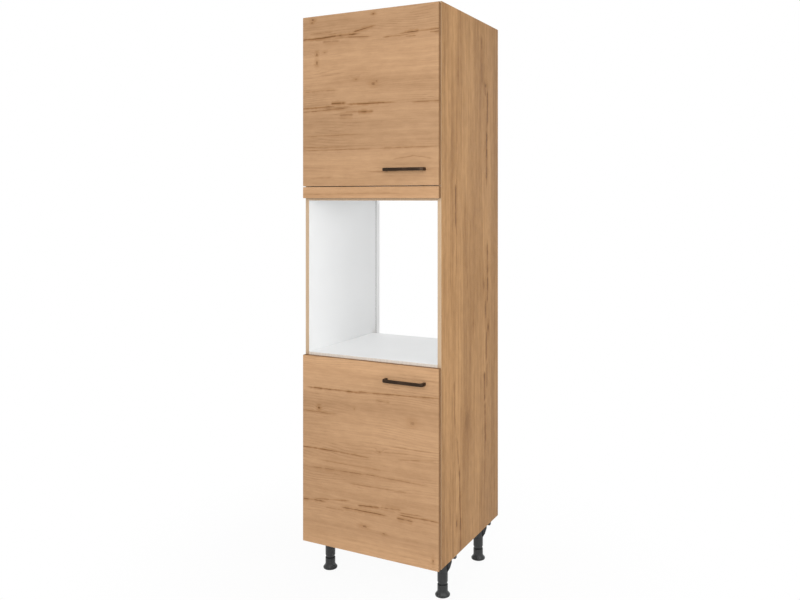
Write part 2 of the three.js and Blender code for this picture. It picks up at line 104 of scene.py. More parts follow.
class OakSettings(bpy.types.PropertyGroup):
    pale: colour("Pale oak", (0.615, 0.374, 0.207), "Lightest ground of the oak decor")
    deep: colour("Deep oak", (0.417, 0.237, 0.120), "Darkest ground of the oak decor")
    ring: colour("Rings", (0.334, 0.182, 0.087), "Late wood of the growth rings")
    pore: colour("Pores", (0.231, 0.118, 0.054), "Short dark strokes along the grain")
    stain: colour("Stain", (0.32, 0.152, 0.054), "Brown stain round cracks and knots")
    crack: colour("Cracks", (0.12, 0.047, 0.013), "Dark middle of cracks and knots")
    # The fronts' edge bands are a darker copy of their oak: painted shade, for the shadow in the
    # gaps round the doors.
    edge: colour(
        "Edge band painted shade", (0.50, 0.42, 0.29), "How much darker the fronts' edge bands are"
    )
    gloss: share("Roughness", 0.5, "Roughness of the oak decor's matt surface")
    relief: length("Relief", 0.00025, "Depth of the pressed pores", 0.002)


class BoardSettings(bpy.types.PropertyGroup):
    rounding: length("Edge rounding", 0.0009, "Radius on the taped edges of fronts", 0.003)
    arris: length("Arris", 0.0004, "Radius on the edges of carcass boards", 0.003)
    white: colour("White face", (0.905, 0.91, 0.91), "White melamine of the inside faces")
    tape: colour("Edge tape", (0.60, 0.43, 0.276), "Oak-coloured tape on carcass edges")
    cream: colour("Cream tape", (0.86, 0.785, 0.70), "Tape on the front of the niche floor")
    core: colour("Core", (0.36, 0.24, 0.14), "Particle board where an edge is left raw")


class HandleSettings(bpy.types.PropertyGroup):
    bronze: colour("Bronze", (0.040, 0.025, 0.016), "Satin dark bronze of the handles")
    bar_depth: length("Bar depth", 0.009, "Thickness of the grip, front to back", 0.03)
    foot_width: length("Foot width", 0.012, "Width of each foot along the bar", 0.03)
    bend: length("Bend radius", 0.013, "Outer radius where the bar turns back", 0.03)
    rounding: length("Edge rounding", 0.0026, "Radius along the handle's long edges", 0.006)


class HardwareSettings(bpy.types.PropertyGroup):
    nickel: colour("Nickel", (0.62, 0.61, 0.58), "Nickel plating of hinges, pins and screws")
    zinc: colour("Zinc", (0.50, 0.52, 0.53), "Zinc plating of the angle brackets")
    screw_radius: length("Screw head radius", 0.0037, "Radius of a countersunk screw's head", 0.01)
    cam_radius: length("Cam radius", 0.0075, "Radius of the discs that join the boards", 0.02)
    sheet_rounding: length("Sheet rounding", 0.0003, "Radius on the edges of pressed steel", 0.002)


class LegSettings(bpy.types.PropertyGroup):
    plastic: colour("Plastic", (0.021, 0.0213, 0.0222), "Dark grey plastic of the levelling legs")
    rounding: length("Edge rounding", 0.0008, "Radius on the moulded edges", 0.003)
    thread_pitch: length("Thread pitch", 0.004, "Pitch of the thread on the foot's stem", 0.01)
    thread_depth: length("Thread depth", 0.0012, "Depth of that thread", 0.003)


class StageSettings(bpy.types.PropertyGroup):
    backdrop: colour("Backdrop", (0.9, 0.9, 0.9), "Colour of the floor")
    key_power: power("Key light", 60, "Power of the large lamp in front")
    fill_power: power("Fill light", 38, "Power of the lamp at the right")
    rear_power: power("Rear light", 24, "Power of the lamp behind")
    world_light: share("World light", 0.6, "Strength of the even light from all round")


def section(kind, name, description):
    """One group of settings inside the unit's settings."""
    return bpy.props.PointerProperty(type=kind, name=name, description=description)


class OvenUnitSettings(bpy.types.PropertyGroup):
    oak: section(OakSettings, "Oak", "Oak decor")
    board: section(BoardSettings, "Boards", "Boards")
    handle: section(HandleSettings, "Handles", "Handles")
    hardware: section(HardwareSettings, "Hardware", "Hinges, pins, brackets and screws")
    leg: section(LegSettings, "Legs", "Levelling legs")
    stage: section(StageSettings, "Stage", "Light and floor")


def settings():
    """The scene's settings for this unit."""
    return bpy.context.scene.oven_unit


# ---- Node building ----------------------------------------------------------------------------


class Wire:
    """An output of a node. Sums, products and quotients of wires are new nodes in its tree."""

    def __init__(self, socket):
        self.socket = socket
        self.tree = socket.id_data

    def __add__(self, other):
        return calc("ADD", self, other)

    def __sub__(self, other):
        return calc("SUBTRACT", self, other)

    def __mul__(self, other):
        return calc("MULTIPLY", self, other)

    def __truediv__(self, other):
        return calc("DIVIDE", self, other)


def tree_of(values):
    """The tree of the first wire among some values."""
    return next(value.tree for value in values if isinstance(value, Wire))


def feed(socket, value):
    """Links a wire to a socket, or sets the socket's own value."""
    if isinstance(value, Wire):
        value.tree.links.new(value.socket, socket)
    else:
        socket.default_value = value


def put(tree, kind, inputs=None, **choices):
    """A node with its choices made and its inputs fed, by name or number."""
    node = tree.nodes.new(kind)
    for key, value in choices.items():
        setattr(node, key, value)
    for key, value in (inputs or {}).items():
        feed(node.inputs[key], value)
    return node


def wired(tree, kind, inputs=None, output=0, **choices):
    """One output of a new node."""
    return Wire(put(tree, kind, inputs, **choices).outputs[output])


def calc(operation, *values):
    """One step of arithmetic on wires and numbers."""
    return wired(tree_of(values), "ShaderNodeMath", dict(enumerate(values)), operation=operation)


def ramp(value, start, end, low=0.0, high=1.0):
    """A smooth step of value between start and end."""
    inputs = {"Value": value, "From Min": start, "From Max": end, "To Min": low, "To Max": high}
    return wired(value.tree, "ShaderNodeMapRange", inputs, interpolation_type="SMOOTHSTEP")


def mixed(factor, first, second):
    """Two colours mixed."""
    inputs = {0: factor, 6: first, 7: second}
    tree = tree_of(inputs.values())
    return wired(tree, "ShaderNodeMix", inputs, 2, data_type="RGBA", clamp_factor=False)


def noise(place, detail=2.0, roughness=0.5):
    """Noise between 0 and 1 at a place given by its three coordinates."""
    vector = wired(tree_of(place), "ShaderNodeCombineXYZ", dict(enumerate(place)))
    inputs = {"Vector": vector, "Scale": 1.0, "Detail": detail, "Roughness": roughness}
    return wired(vector.tree, "ShaderNodeTexNoise", inputs)


def even_noise(axes, scale, detail=2.0, roughness=0.5):
    """Noise at the same scale along all three axes."""
    return noise([axis * scale for axis in axes], detail, roughness)


def shader_group(name, inputs, outputs):
    """Makes a function from input wires to output wires into one that gives their node group."""

    def wrap(build):
        def group():
            found = bpy.data.node_groups.get(name)
            if found:
                return found
            tree = bpy.data.node_groups.new(name, "ShaderNodeTree")
            for way, labels in (("INPUT", inputs), ("OUTPUT", outputs)):
                for label in labels:
                    tree.interface.new_socket(label, in_out=way, socket_type="NodeSocketFloat")
            given = tree.nodes.new("NodeGroupInput").outputs
            results = build(*(Wire(given[label]) for label in inputs))
            given_back = tree.nodes.new("NodeGroupOutput").inputs
            for label, value in zip(outputs, results):
                feed(given_back[label], value)
            return tree

        return group

    return wrap


def use_group(group, inputs):
    """The outputs, by name, of a group whose inputs are fed by name."""
    node = put(tree_of(inputs.values()), "ShaderNodeGroup", inputs, node_tree=group)
    return {socket.name: Wire(socket) for socket in node.outputs}


# ---- Oak decor --------------------------------------------------------------------------------

# What the grain needs, and the sizes of a crack and of a knot in the order of the boards' tables.
GRAIN = ("Along", "Across", "Depth", "Piece", "Swell")
CRACK = ("Start", "End", "Place", "Rise", "Width", "Strength")
KNOT = ("Place along", "Place", "Reach along", "Reach", "Strength")


@shader_group("oak grain", GRAIN, ("Tone", "Rings", "Pores"))
def grain_group(along, across, depth, piece, swell):
    """Ground tone, growth rings and pores at a place on a board. Knots swell the rings."""
    shifted = along + piece * 3.7

    def stretched(along_scale, across_scale, source, detail, roughness=0.55):
        deep = depth * (across_scale * 0.5) + piece
        return noise((shifted * along_scale, source * across_scale, deep), detail, roughness)

    slow = stretched(1.6, 5.0, across, 1.0) - 0.5
    quick = stretched(9.0, 30.0, across, 2.0) - 0.5
    drifted = across + (slow * 0.035 + quick * 0.006)

    bands = ramp(stretched(0.9, 13.0, drifted, 2.0), 0.25, 0.75)
    streaks = ramp(stretched(2.4, 70.0, drifted, 3.0, 0.6), 0.3, 0.7)
    fibre = ramp(stretched(12.0, 330.0, drifted, 2.0), 0.25, 0.75)
    mottle = ramp(stretched(20.0, 46.0, across, 3.0, 0.65), 0.3, 0.7)
    tone = bands * 0.4 + streaks * 0.27 + fibre * 0.14 + mottle * 0.19

    figure = drifted * 90.0 + stretched(1.25, 4.2, across, 1.5) * 14.0
    phase = calc("FRACT", figure + swell)
    late_wood = calc("MAXIMUM", ramp(phase, 0.5, 0.0), ramp(phase, 0.84, 1.0))
    vigour = ramp(stretched(2.6, 11.0, across, 2.0), 0.46, 0.7, 0.05, 1.0)
    rings = late_wood * vigour

    dashes = ramp(stretched(26.0, 900.0, drifted, 1.0), 0.54, 0.7)
    return tone, rings, dashes * (rings * 0.75 + 0.25)


@shader_group("oak flaws", ("Along", "Across", "Piece"), ("Height", "Swelling", "Rag", "Streak"))
def flaw_group(along, across, piece):
    """What the cracks and knots of a board share: a height across the grain that wanders as the
    fibres do, the swelling and raggedness of edges, and the streaks of the stain round them."""

    def at(along_scale, across_scale, roughness=0.5):
        return noise((along * along_scale, across * across_scale, piece), 2.0, roughness)

    slow = at(6.0, 4.0) - 0.5
    quick = at(40.0, 15.0) - 0.5
    height = quick * 0.0025 + (slow * 0.006 + across)
    swelling = ramp(at(26.0, 20.0, 0.6), 0.3, 0.7, 0.55, 1.45)
    rag = at(120.0, 200.0, 0.6) - 0.5
    return height, swelling, rag, ramp(at(9.0, 240.0), 0.3, 0.7, 0.4, 1.0)


@shader_group("oak crack", ("Along", "Height", "Swelling", "Streak", *CRACK), ("Core", "Stain"))
def crack_group(along, height, swelling, streak, start, end, place, rise, width, strength):
    """A long crack along the grain: a thin dark core that tapers, in a wider streaked stain."""
    run = (along - start) / (end - start)
    away = calc("ABSOLUTE", height - (rise * run + place))
    window = ramp(run, 0.0, 0.15) * ramp(run, 1.0, 0.8)
    taper = window * 0.5 + 0.5
    ratio = away / (width * swelling * taper)
    shown = window * strength
    stained = ramp(ratio, 6.0, 0.4, 0.0, 0.9) * streak
    sunk = ramp(ratio, 1.1, 0.2) * ramp(swelling, 0.6, 1.1, 0.35, 1.0)
    return sunk * shown, stained * shown


@shader_group("oak knot", ("Along", "Height", "Rag", "Streak", *KNOT), ("Core", "Stain", "Swell"))
def knot_group(along, height, rag, streak, place_along, place, reach_along, reach_up, strength):
    """A knot: a small ragged eye in a streaked stain, which swells the rings round it."""
    run = (along - place_along) / reach_along
    lift = (height - place) / reach_up
    reach = calc("SQRT", run * run + lift * lift)
    ragged = rag * 1.3 + reach
    stained = ramp(ragged, 3.6, 0.6, 0.0, 0.95) * streak
    eye = ramp(ragged, 1.1, 0.2) * strength
    return eye, stained * strength, ramp(reach, 6.0, 0.0, 0.0, 1.2)


def bare_material(name):
    """A material with a Principled shader and an output, and nothing else."""
    material = bpy.data.materials.new(name)
    material.use_nodes = True
    tree = material.node_tree
    tree.nodes.clear()
    shader = tree.nodes.new("ShaderNodeBsdfPrincipled")
    output = tree.nodes.new("ShaderNodeOutputMaterial")
    tree.links.new(shader.outputs[0], output.inputs[0])
    return material, tree, shader


def object_axes(tree):
    """Object coordinates as three wires."""
    place = wired(tree, "ShaderNodeTexCoord", output="Object")
    return [Wire(socket) for socket in put(tree, "ShaderNodeSeparateXYZ", {0: place}).outputs]


def raise_relief(shader, height, depth, strength=1.0, invert=False):
    """Gives a shader a relief of some depth from a height between 0 and 1."""
    inputs = {"Height": height, "Distance": depth, "Strength": strength}
    feed(shader.inputs["Normal"], wired(height.tree, "ShaderNodeBump", inputs, invert=invert))


def oak(name, piece, upright, flaws=((), (), ()), painted_shade=(1.0, 1.0, 1.0), bold=1.0):
    """Oak decor with its grain across (along X) or upright (along Z), and a board's cracks, knots
    and bands. Its painted shade darkens all of it, for pieces painted as lying in shade, and bold
    is its contrast."""
    wood = settings().oak
    material, tree, shader = bare_material(name)
    x, y, z = object_axes(tree)
    along, across, depth = (z, y, x) if upright else (x, z, y)
    shared = {"Along": along, "Across": across, "Piece": piece}
    board = use_group(flaw_group(), shared)
    cracks, knots, bands = flaws
    core, stain, swell = 0.0, 0.0, 0.0
    for labels, group, edge, rows in (
        (CRACK, crack_group, "Swelling", cracks),
        (KNOT, knot_group, "Rag", knots),
    ):
        for *lengths, strength in rows:
            sizes = dict(zip(labels, [*(size * MM for size in lengths), strength]))
            around = {label: board[label] for label in ("Height", "Streak", edge)}
            flaw = use_group(group(), {"Along": along} | around | sizes)
            core = calc("MAXIMUM", flaw["Core"], core)
            stain = calc("MAXIMUM", flaw["Stain"], stain)
            swell = flaw["Swell"] + swell if "Swell" in flaw else swell
    grain = use_group(grain_group(), shared | {"Depth": depth, "Swell": swell})

    # Each colour of the decor darkened by the painted shade.
    def with_painted_shade(shade):
        return [channel * part for channel, part in zip(shade, painted_shade)] + [1]

    tone = (grain["Tone"] - 0.5) * bold + 0.5
    ground = mixed(tone, with_painted_shade(wood.deep), with_painted_shade(wood.pale))
    ground = mixed(grain["Rings"] * (0.28 * bold), ground, with_painted_shade(wood.ring))
    ground = mixed(grain["Pores"] * 0.5, ground, with_painted_shade(wood.pore))
    gain = 1.0
    for place, reach, amount in bands:
        away = calc("ABSOLUTE", board["Height"] - place * MM)
        gain = ramp(away, reach * MM, 0.0, 0.0, amount) + gain
    if bands:
        ground = wired(tree, "ShaderNodeVectorMath", {0: ground, "Scale": gain}, operation="SCALE")
    ground = mixed(stain, ground, with_painted_shade(wood.stain))
    feed(shader.inputs["Base Color"], mixed(core, ground, with_painted_shade(wood.crack)))
    feed(shader.inputs["Roughness"], grain["Rings"] * 0.1 + wood.gloss)
    raise_relief(shader, calc("MAXIMUM", grain["Pores"], core), wood.relief, invert=True)
    shader.inputs["Specular IOR Level"].default_value = 0.14
    return material


# ---- Other finishes ---------------------------------------------------------------------------


def scaled(shade, *factors):
    """A colour made lighter or darker by each factor, with its alpha."""
    return [[min(channel * factor, 1.0) for channel in shade] + [1] for factor in factors]


def made_once(build):
    """Makes a finish's builder into a function that gives the material of a name. It is built
    where it isn't there yet."""

    def finish(name, *values):
        found = bpy.data.materials.get(name)
        if found:
            return found
        material, tree, shader = bare_material(name)
        build(tree, shader, *values)
        return material

    return finish


@made_once
def clouded(tree, shader, shades, cloud, pits, gloss, relief, levels, spread=(0.3, 0.7)):
    """A finish that goes from one shade and gloss to another in clouds, over fine pits. Cloud and
    pits are noise as (scale, detail, roughness), and the relief is (depth, strength)."""
    axes = object_axes(tree)
    clouds = even_noise(axes, *cloud)
    feed(shader.inputs["Base Color"], mixed(ramp(clouds, *spread), *shades))
    feed(shader.inputs["Roughness"], ramp(clouds, 0.3, 0.7, *gloss))
    raise_relief(shader, even_noise(axes, *pits), *relief)
    for label, level in levels.items():
        shader.inputs[label].default_value = level


@made_once
def pebbled(tree, shader, shade):
    """Melamine with the fine pebble of its press plate, which its gloss follows."""
    axes = object_axes(tree)
    pebble = even_noise(axes, 900.0, 2.0, 0.6)
    cloud = ramp(even_noise(axes, 3.0), 0.3, 0.7)
    feed(shader.inputs["Base Color"], mixed(cloud, *scaled(shade, 0.965, 1.0)))
    feed(shader.inputs["Roughness"], ramp(pebble, 0.2, 0.8, 0.38, 0.5))
    raise_relief(shader, pebble, 0.04 * MM, 0.5)
    shader.inputs["Specular IOR Level"].default_value = 0.35


@made_once
def taped(tree, shader, shade):
    """Plain coloured tape on the narrow edges of carcass boards."""
    x, y, z = object_axes(tree)
    streak = ramp(noise([x * 500.0, y * 500.0, z * 9.0]), 0.3, 0.7)
    feed(shader.inputs["Base Color"], mixed(streak, *scaled(shade, 0.86, 1.0)))
    feed(shader.inputs["Roughness"], ramp(streak, 0.0, 1.0, 0.42, 0.52))


@made_once
def chipped(tree, shader, darkest, lightest):
    """Particle board: pressed chips of several browns where an edge has no tape."""
    place = wired(tree, "ShaderNodeTexCoord", output="Object")
    chips = put(tree, "ShaderNodeTexVoronoi", {"Vector": place, "Scale": 420.0}).outputs
    tone = wired(tree, "ShaderNodeSeparateXYZ", {0: Wire(chips["Color"])})
    shades = scaled(settings().board.core, darkest, lightest)
    feed(shader.inputs["Base Color"], mixed(tone, *shades))
    shader.inputs["Roughness"].default_value = 0.85
    raise_relief(shader, Wire(chips["Distance"]), 0.2 * MM)


def white_face():
    return pebbled("white melamine", settings().board.white)


def oak_tape():
    return taped("oak edge tape", settings().board.tape)


def cream_tape():
    return taped("cream edge tape", settings().board.cream)


def raw_core():
    return chipped("particle board core", 0.6, 1.5)


# The walls of the back panel's groove: the board's core darkened far below its own colour, as
# painted shade for the shadow in the groove.
def groove_painted_shade():
    return chipped("shaded groove core", 0.072, 0.18)


def plated(name, shade, gloss):
    """Plated steel, with a faint cloud of wear in its gloss."""
    wear, pits, relief = (220.0, 3.0, 0.6), (2600.0, 1.0), (0.01 * MM, 0.4)
    return clouded(name, scaled(shade, 0.86, 1.0), wear, pits, gloss, relief, {"Metallic": 1.0})


def nickel():
    return plated("nickel plating", settings().hardware.nickel, (0.22, 0.36))


def zinc():
    return plated("zinc plating", settings().hardware.zinc, (0.32, 0.5))


def bronze():
    """Satin dark bronze, in patches a little brighter, as where hands rub it."""
    shades = scaled(settings().handle.bronze, 1.0, 1.6)
    gloss, relief, rubbed = (0.32, 0.42), (0.02 * MM, 0.5), (0.4, 0.8)
    levels = {"Metallic": 0.85, "Specular IOR Level": 0.3}
    return clouded("dark bronze", shades, (30.0,), (1800.0,), gloss, relief, levels, rubbed)


def moulded(name, shade, sheen):
    """Moulded plastic with a fine spark-eroded grain."""
    gloss, relief, levels = (0.3, 0.4), (0.04 * MM, 0.6), {"Specular IOR Level": sheen}
    return clouded(name, scaled(shade, 1.0, 1.18), (45.0,), (2200.0,), gloss, relief, levels)


def leg_plastic():
    return moulded("leg plastic", settings().leg.plastic, 0.42)


def soft_plastic():
    return moulded("soft clear plastic", (0.62, 0.64, 0.66), 0.6)


# ---- Mesh helpers -----------------------------------------------------------------------------

# Nearer than this, two points of a solid are one. Flatter than this, two of its facets are one
# face, and an edge steeper than the last angle is drawn sharp.
MERGE = 0.002 * MM
LEVEL_ANGLE = math.radians(0.5)
SHARP_ANGLE = math.radians(32)


def extent(node):
    """A CAD node's lowest corner, middle and highest corner at rest."""
    low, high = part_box(node)
    return low, (low + high) / 2, high


def keep_flat(mesh):
    """Keeps a board's level and upright faces flat beside their rounded edges."""
    kinds = {}
    for polygon in mesh.polygons:
        square = max(abs(part) for part in polygon.normal) > 0.99999
        for key in polygon.edge_keys:
            kinds.setdefault(key, set()).add(square)
    for edge in mesh.edges:
        if len(kinds[edge.key]) == 2:
            edge.use_edge_sharp = True


def finished(name, mesh, finishes, body, slot, *nodes):
    """Makes a mesh a piece of the unit: shaded, on its body, in place of its nodes; its slot is not
    used.
    """
    if not mesh.materials:
        for material in finishes:
            mesh.materials.append(material)
    mesh.shade_smooth()
    mesh.set_sharp_from_angle(angle=SHARP_ANGLE)
    piece = bpy.data.objects.new(name, mesh)
    bpy.context.scene.collection.objects.link(piece)
    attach(piece, body)
    if nodes:
        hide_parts(*nodes)


def as_mesh(name, work):
    """A mesh from a bmesh, with its normals outwards."""
    bmesh.ops.recalc_face_normals(work, faces=work.faces)
    mesh = bpy.data.meshes.new(name)
    work.to_mesh(mesh)
    work.free()
    return mesh


def dressed(node, kind, work, finishes, body, slot):
    """Makes a bmesh the piece that stands in for a CAD node, and gives its mesh."""
    mesh = as_mesh(node, work)
    finished(f"{node}_{kind}", mesh, finishes, body, slot, node)
    return mesh


def rounded_solid(node, radius, shortest, segments=2, least_angle=50.0):
    """A CAD node's solid as a bmesh, merged, with its long sharp edges rounded."""
    work = bmesh.new()
    work.from_mesh(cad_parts[node].data)
    bmesh.ops.remove_doubles(work, verts=work.verts, dist=MERGE)
    bmesh.ops.dissolve_limit(work, angle_limit=LEVEL_ANGLE, verts=work.verts, edges=work.edges)
    sharp = []
    for edge in work.edges:
        long_enough = edge.is_manifold and edge.calc_length() > shortest
        if long_enough and edge.calc_face_angle() > math.radians(least_angle):
            sharp.append(edge)
    shape = {"offset": radius, "segments": segments, "profile": 0.5, "clamp_overlap": True}
    bmesh.ops.bevel(work, geom=sharp, affect="EDGES", **shape)
    bmesh.ops.triangulate(work, faces=[face for face in work.faces if len(face.verts) > 4])
    return work


def ring(work, centre, radius, height, segments):
    """A level ring of vertices, or one vertex where it has no radius."""
    if radius < TOUCH:
        return [work.verts.new((*centre, height))]
    made = []
    for i in range(segments):
        angle = 2 * math.pi * i / segments
        x, y = centre[0] + radius * math.cos(angle), centre[1] + radius * math.sin(angle)
        made.append(work.verts.new((x, y, height)))
    return made


def bridge(work, rings):
    """Adds the faces between each ring and the next, of which one may be a single vertex."""
    for low, high in zip(rings, rings[1:]):
        count = max(len(low), len(high))
        for i in range(count):
            j = (i + 1) % count
            edges = [(low, i), (low, j), (high, j), (high, i)]
            work.faces.new(list(dict.fromkeys(side[k % len(side)] for side, k in edges)))


def turned(centre, profile, segments):
    """A closed round form about an upright axis from its (radius, height) profile, bottom up the
    outside; a profile that ends on the axis closes there, and any other joins its start."""
    work = bmesh.new()
    rings = [ring(work, centre, radius, height, segments) for radius, height in profile]
    bridge(work, rings if len(rings[0]) == 1 else rings + rings[:1])
    return work


def laid_down(work, axis, angle, place):
    """A turned form whose axis is tilted over, with its base moved to a place."""
    matrix = Matrix.Translation(place) @ Matrix.Rotation(angle, 4, axis)
    bmesh.ops.transform(work, matrix=matrix, verts=work.verts)
    return work


def in_metres(points):
    """Points of a profile, from millimetres."""
    return [(radius * MM, height * MM) for radius, height in points]


def fillet(profile, radius, steps=4):
    """A profile with its inner corners rounded by up to the radius; its ends stay."""
    points = [Vector(point) for point in profile]
    made = [points[0]]
    for before, corner, after in zip(points, points[1:], points[2:]):
        back, on = before - corner, after - corner
        room = min(radius, back.length * 0.45, on.length * 0.45)
        start, end = corner + back.normalized() * room, corner + on.normalized() * room
        for i in range(steps + 1):
            t = i / steps
            made.append(start * (1 - t) ** 2 + corner * 2 * t * (1 - t) + end * t**2)
    made.append(points[-1])
    return [(point.x, point.y) for point in made]


# ---- Boards and fronts ------------------------------------------------------------------------

# The flaws of each board: its cracks, its knots and its bands, which are lighter or darker right
# along the board. Cracks are (start, end, place, rise, half width, strength), knots are (along,
# place, reach along, reach, strength), and bands are (place, reach, gain). All but the last number
# of a row are in millimetres.
SIDE_FLAWS = (
    (
        (2180, 1940, 124, 5, 5, 0.5),
        (1990, 1920, 150, 22, 3.7, 0.4),
        (1960, 1790, 187, 2, 3.5, 0.8),
        (1880, 1740, 183, -6, 4.2, 0.45),
        (1810, 1540, 178, -2, 3.7, 1),
        (1340, 1080, 187, 1, 3.7, 0.85),
        (1200, 1060, 187, -2, 3.1, 0.75),
        (980, 820, 180, -6, 3.2, 0.75),
        (830, 710, 183, -2, 2.5, 0.6),
        (800, 660, 156, 2, 3.4, 0.95),
        (680, 480, 161, 3, 3.1, 0.85),
        (550, 330, 160, -3, 2.5, 0.45),
        (2060, 1920, -106, -2, 1.8, 0.4),
        (1890, 1140, -119, -3, 1.6, 0.45),
        (1570, 1380, -131, 1, 2.9, 0.8),
        (1520, 1180, -33, 1, 2.5, 0.35),
        (830, 620, -144, 5, 1.9, 0.5),
        (690, 530, -138, 22, 1.8, 0.45),
        (600, 420, -117, 20, 2.2, 0.6),
        (500, 270, -98, 8, 2.4, 0.85),
        (370, 60, -89, 5, 2.4, 1),
    ),
    (
        (970, 193, 20, 7, 0.9),
        (1050, 165, 45, 10, 0.5),
        (1150, 148, 20, 5, 0.6),
        (1970, 168, 12, 10, 0.6),
        (1010, 38, 22, 4, 0.5),
        (270, -122, 16, 5, 0.6),
        (630, -20, 60, 30, 0.3),
    ),
    ((260, 130, -0.09), (-170, 160, 0.06), (-30, 50, -0.03)),
)
LOWER_FLAWS = (
    (
        (-290, 0, 761, 2, 1.4, 0.9),
        (-100, 360, 764, 17, 1.3, 0.7),
        (30, 100, 743, -2, 2.4, 0.35),
        (-360, -130, 668, 0, 1.3, 0.5),
        (-360, -70, 523, 3, 1.3, 0.8),
        (-130, 20, 525, -4, 1.2, 0.6),
        (-270, 20, 450, 6, 2.2, 0.4),
        (-40, 270, 458, -4, 1.7, 0.4),
        (-240, 100, 482, 0, 1.2, 0.35),
        (-360, -180, 316, 6, 2.1, 0.7),
        (-250, -70, 324, 22, 1.2, 0.55),
        (-130, 100, 315, 0, 1.7, 0.75),
        (120, 200, 315, -2, 2.6, 0.6),
        (120, 360, 329, -2, 1.4, 0.8),
        (130, 240, 337, 2, 1, 0.45),
        (-50, 60, 333, 8, 1.4, 0.85),
        (50, 150, 342, 6, 2.6, 0.45),
        (-200, -100, 300, 4, 1.2, 0.3),
        (120, 300, 530, 22, 1, 0.35),
        (20, 200, 548, 12, 1, 0.3),
        (80, 300, 576, 4, 1, 0.3),
        (-100, 200, 412, 4, 1.6, 0.3),
    ),
    (
        (-222, 685, 6, 7, 0.8),
        (-60, 698, 4, 5, 0.25),
        (190, 675, 13, 9, 0.3),
        (52, 550, 5, 3.5, 0.35),
        (-14, 258, 13, 6, 0.5),
        (70, 246, 7, 3.5, 0.4),
        (276, 185, 3.5, 9, 0.55),
    ),
    ((870, 110, 0.12), (150, 100, 0.12), (710, 50, -0.03)),
)
UPPER_FLAWS = (
    (
        (-360, -20, 2131, 4, 1.9, 0.8),
        (-220, -30, 2134, 1, 2.8, 0.75),
        (-140, 30, 2130, -13, 1.7, 0.5),
        (-70, 40, 2142, 18, 1.8, 0.8),
        (-270, -150, 2152, 0, 2.8, 0.25),
        (-210, -120, 2118, -4, 3.2, 0.35),
        (60, 190, 2112, 1, 1.3, 0.65),
        (120, 360, 2119, 4, 1.4, 0.75),
        (150, 230, 2121, 0, 2.1, 0.9),
        (260, 310, 2113, 0, 1.7, 0.6),
        (160, 210, 2106, -1, 1.5, 0.4),
        (-360, -130, 1860, 3, 1.3, 0.85),
        (-170, -90, 1874, 0, 2.4, 0.8),
        (-110, 140, 1868, -4, 1.4, 0.9),
        (-360, -60, 1845, 10, 1.5, 0.65),
        (-210, -70, 1857, 1, 1.3, 0.45),
        (-50, 30, 1836, 0, 2.1, 0.85),
        (-110, 10, 1838, -1, 1.1, 0.4),
        (-130, -60, 1827, 0, 3.6, 0.35),
        (180, 360, 1861, -1, 1.5, 0.55),
        (-360, 360, 1693, 2, 1.2, 0.45),
        (-360, -50, 1706, -2, 1, 0.35),
        (-330, -20, 1749, 2, 1.6, 0.35),
        (-300, -120, 1925, 1, 2, 0.35),
        (100, 210, 1650, 14, 1.1, 0.35),
        (180, 280, 1665, -14, 1.1, 0.3),
        (-270, -150, 1582, 6, 1.2, 0.35),
        (-20, 300, 1606, 4, 1, 0.35),
    ),
    (
        (-232, 2071, 5, 7, 0.6),
        (-232, 2037, 5.5, 9, 0.55),
        (-195, 2076, 6, 4, 0.3),
        (24, 1939, 11, 7, 0.45),
        (38, 1948, 4, 3, 0.45),
        (-52, 1961, 7, 4, 0.3),
        (-250, 2207, 8, 4, 0.8),
        (-254, 2196, 5, 3, 0.6),
        (25, 2203, 6, 3, 0.7),
    ),
    ((1780, 200, -0.11), (1930, 70, -0.03), (2160, 120, -0.06)),
)
FILLER_FLAWS = (
    ((-330, 200, 1520, 6, 1.1, 0.3),),
    (),
    ((1530, 400, 0.14),),
)

# The place in the wood of the sides' grain; its painted shade, which makes the sides' oak darker
# and less blue than the doors' as shade on the sides; and its contrast.
SIDE_GRAIN = 1.3
SIDE_PAINTED_SHADE = (0.799, 0.730, 0.558)
SIDE_CONTRAST = 2.0

# How near to a board's front or end a face counts as its edge, and how far past its arris a
# board's face goes.
EDGE = 1 * MM
SEAM = 0.4 * MM

# How much of a face's direction is straight out of a side: where it counts as square to it, and
# where the decor of a front or of a side panel still goes round the edge.
SQUARE = 0.95
# Faces of a front past the front wrap take the edge band's painted shade. The sides' oak, darkened
# as painted shade, goes round most of their front arris, so the strip beside the doors stays dark
# as painted shade.
FRONT_WRAP, SIDE_WRAP = 0.6, 0.2

# The shortest edge of a carcass board that gets an arris.
SHORTEST_EDGE = 12 * MM


def boarded(node, kind, work, finishes, slot, chooser):
    """A board, flat beside its eased edges. The chooser gives the number of each face's finish."""
    body = node if node.endswith("door") else "carcass"
    mesh = dressed(node, kind, work, finishes, body, slot)
    keep_flat(mesh)
    for polygon in mesh.polygons:
        polygon.material_index = chooser(polygon.center, polygon.normal)


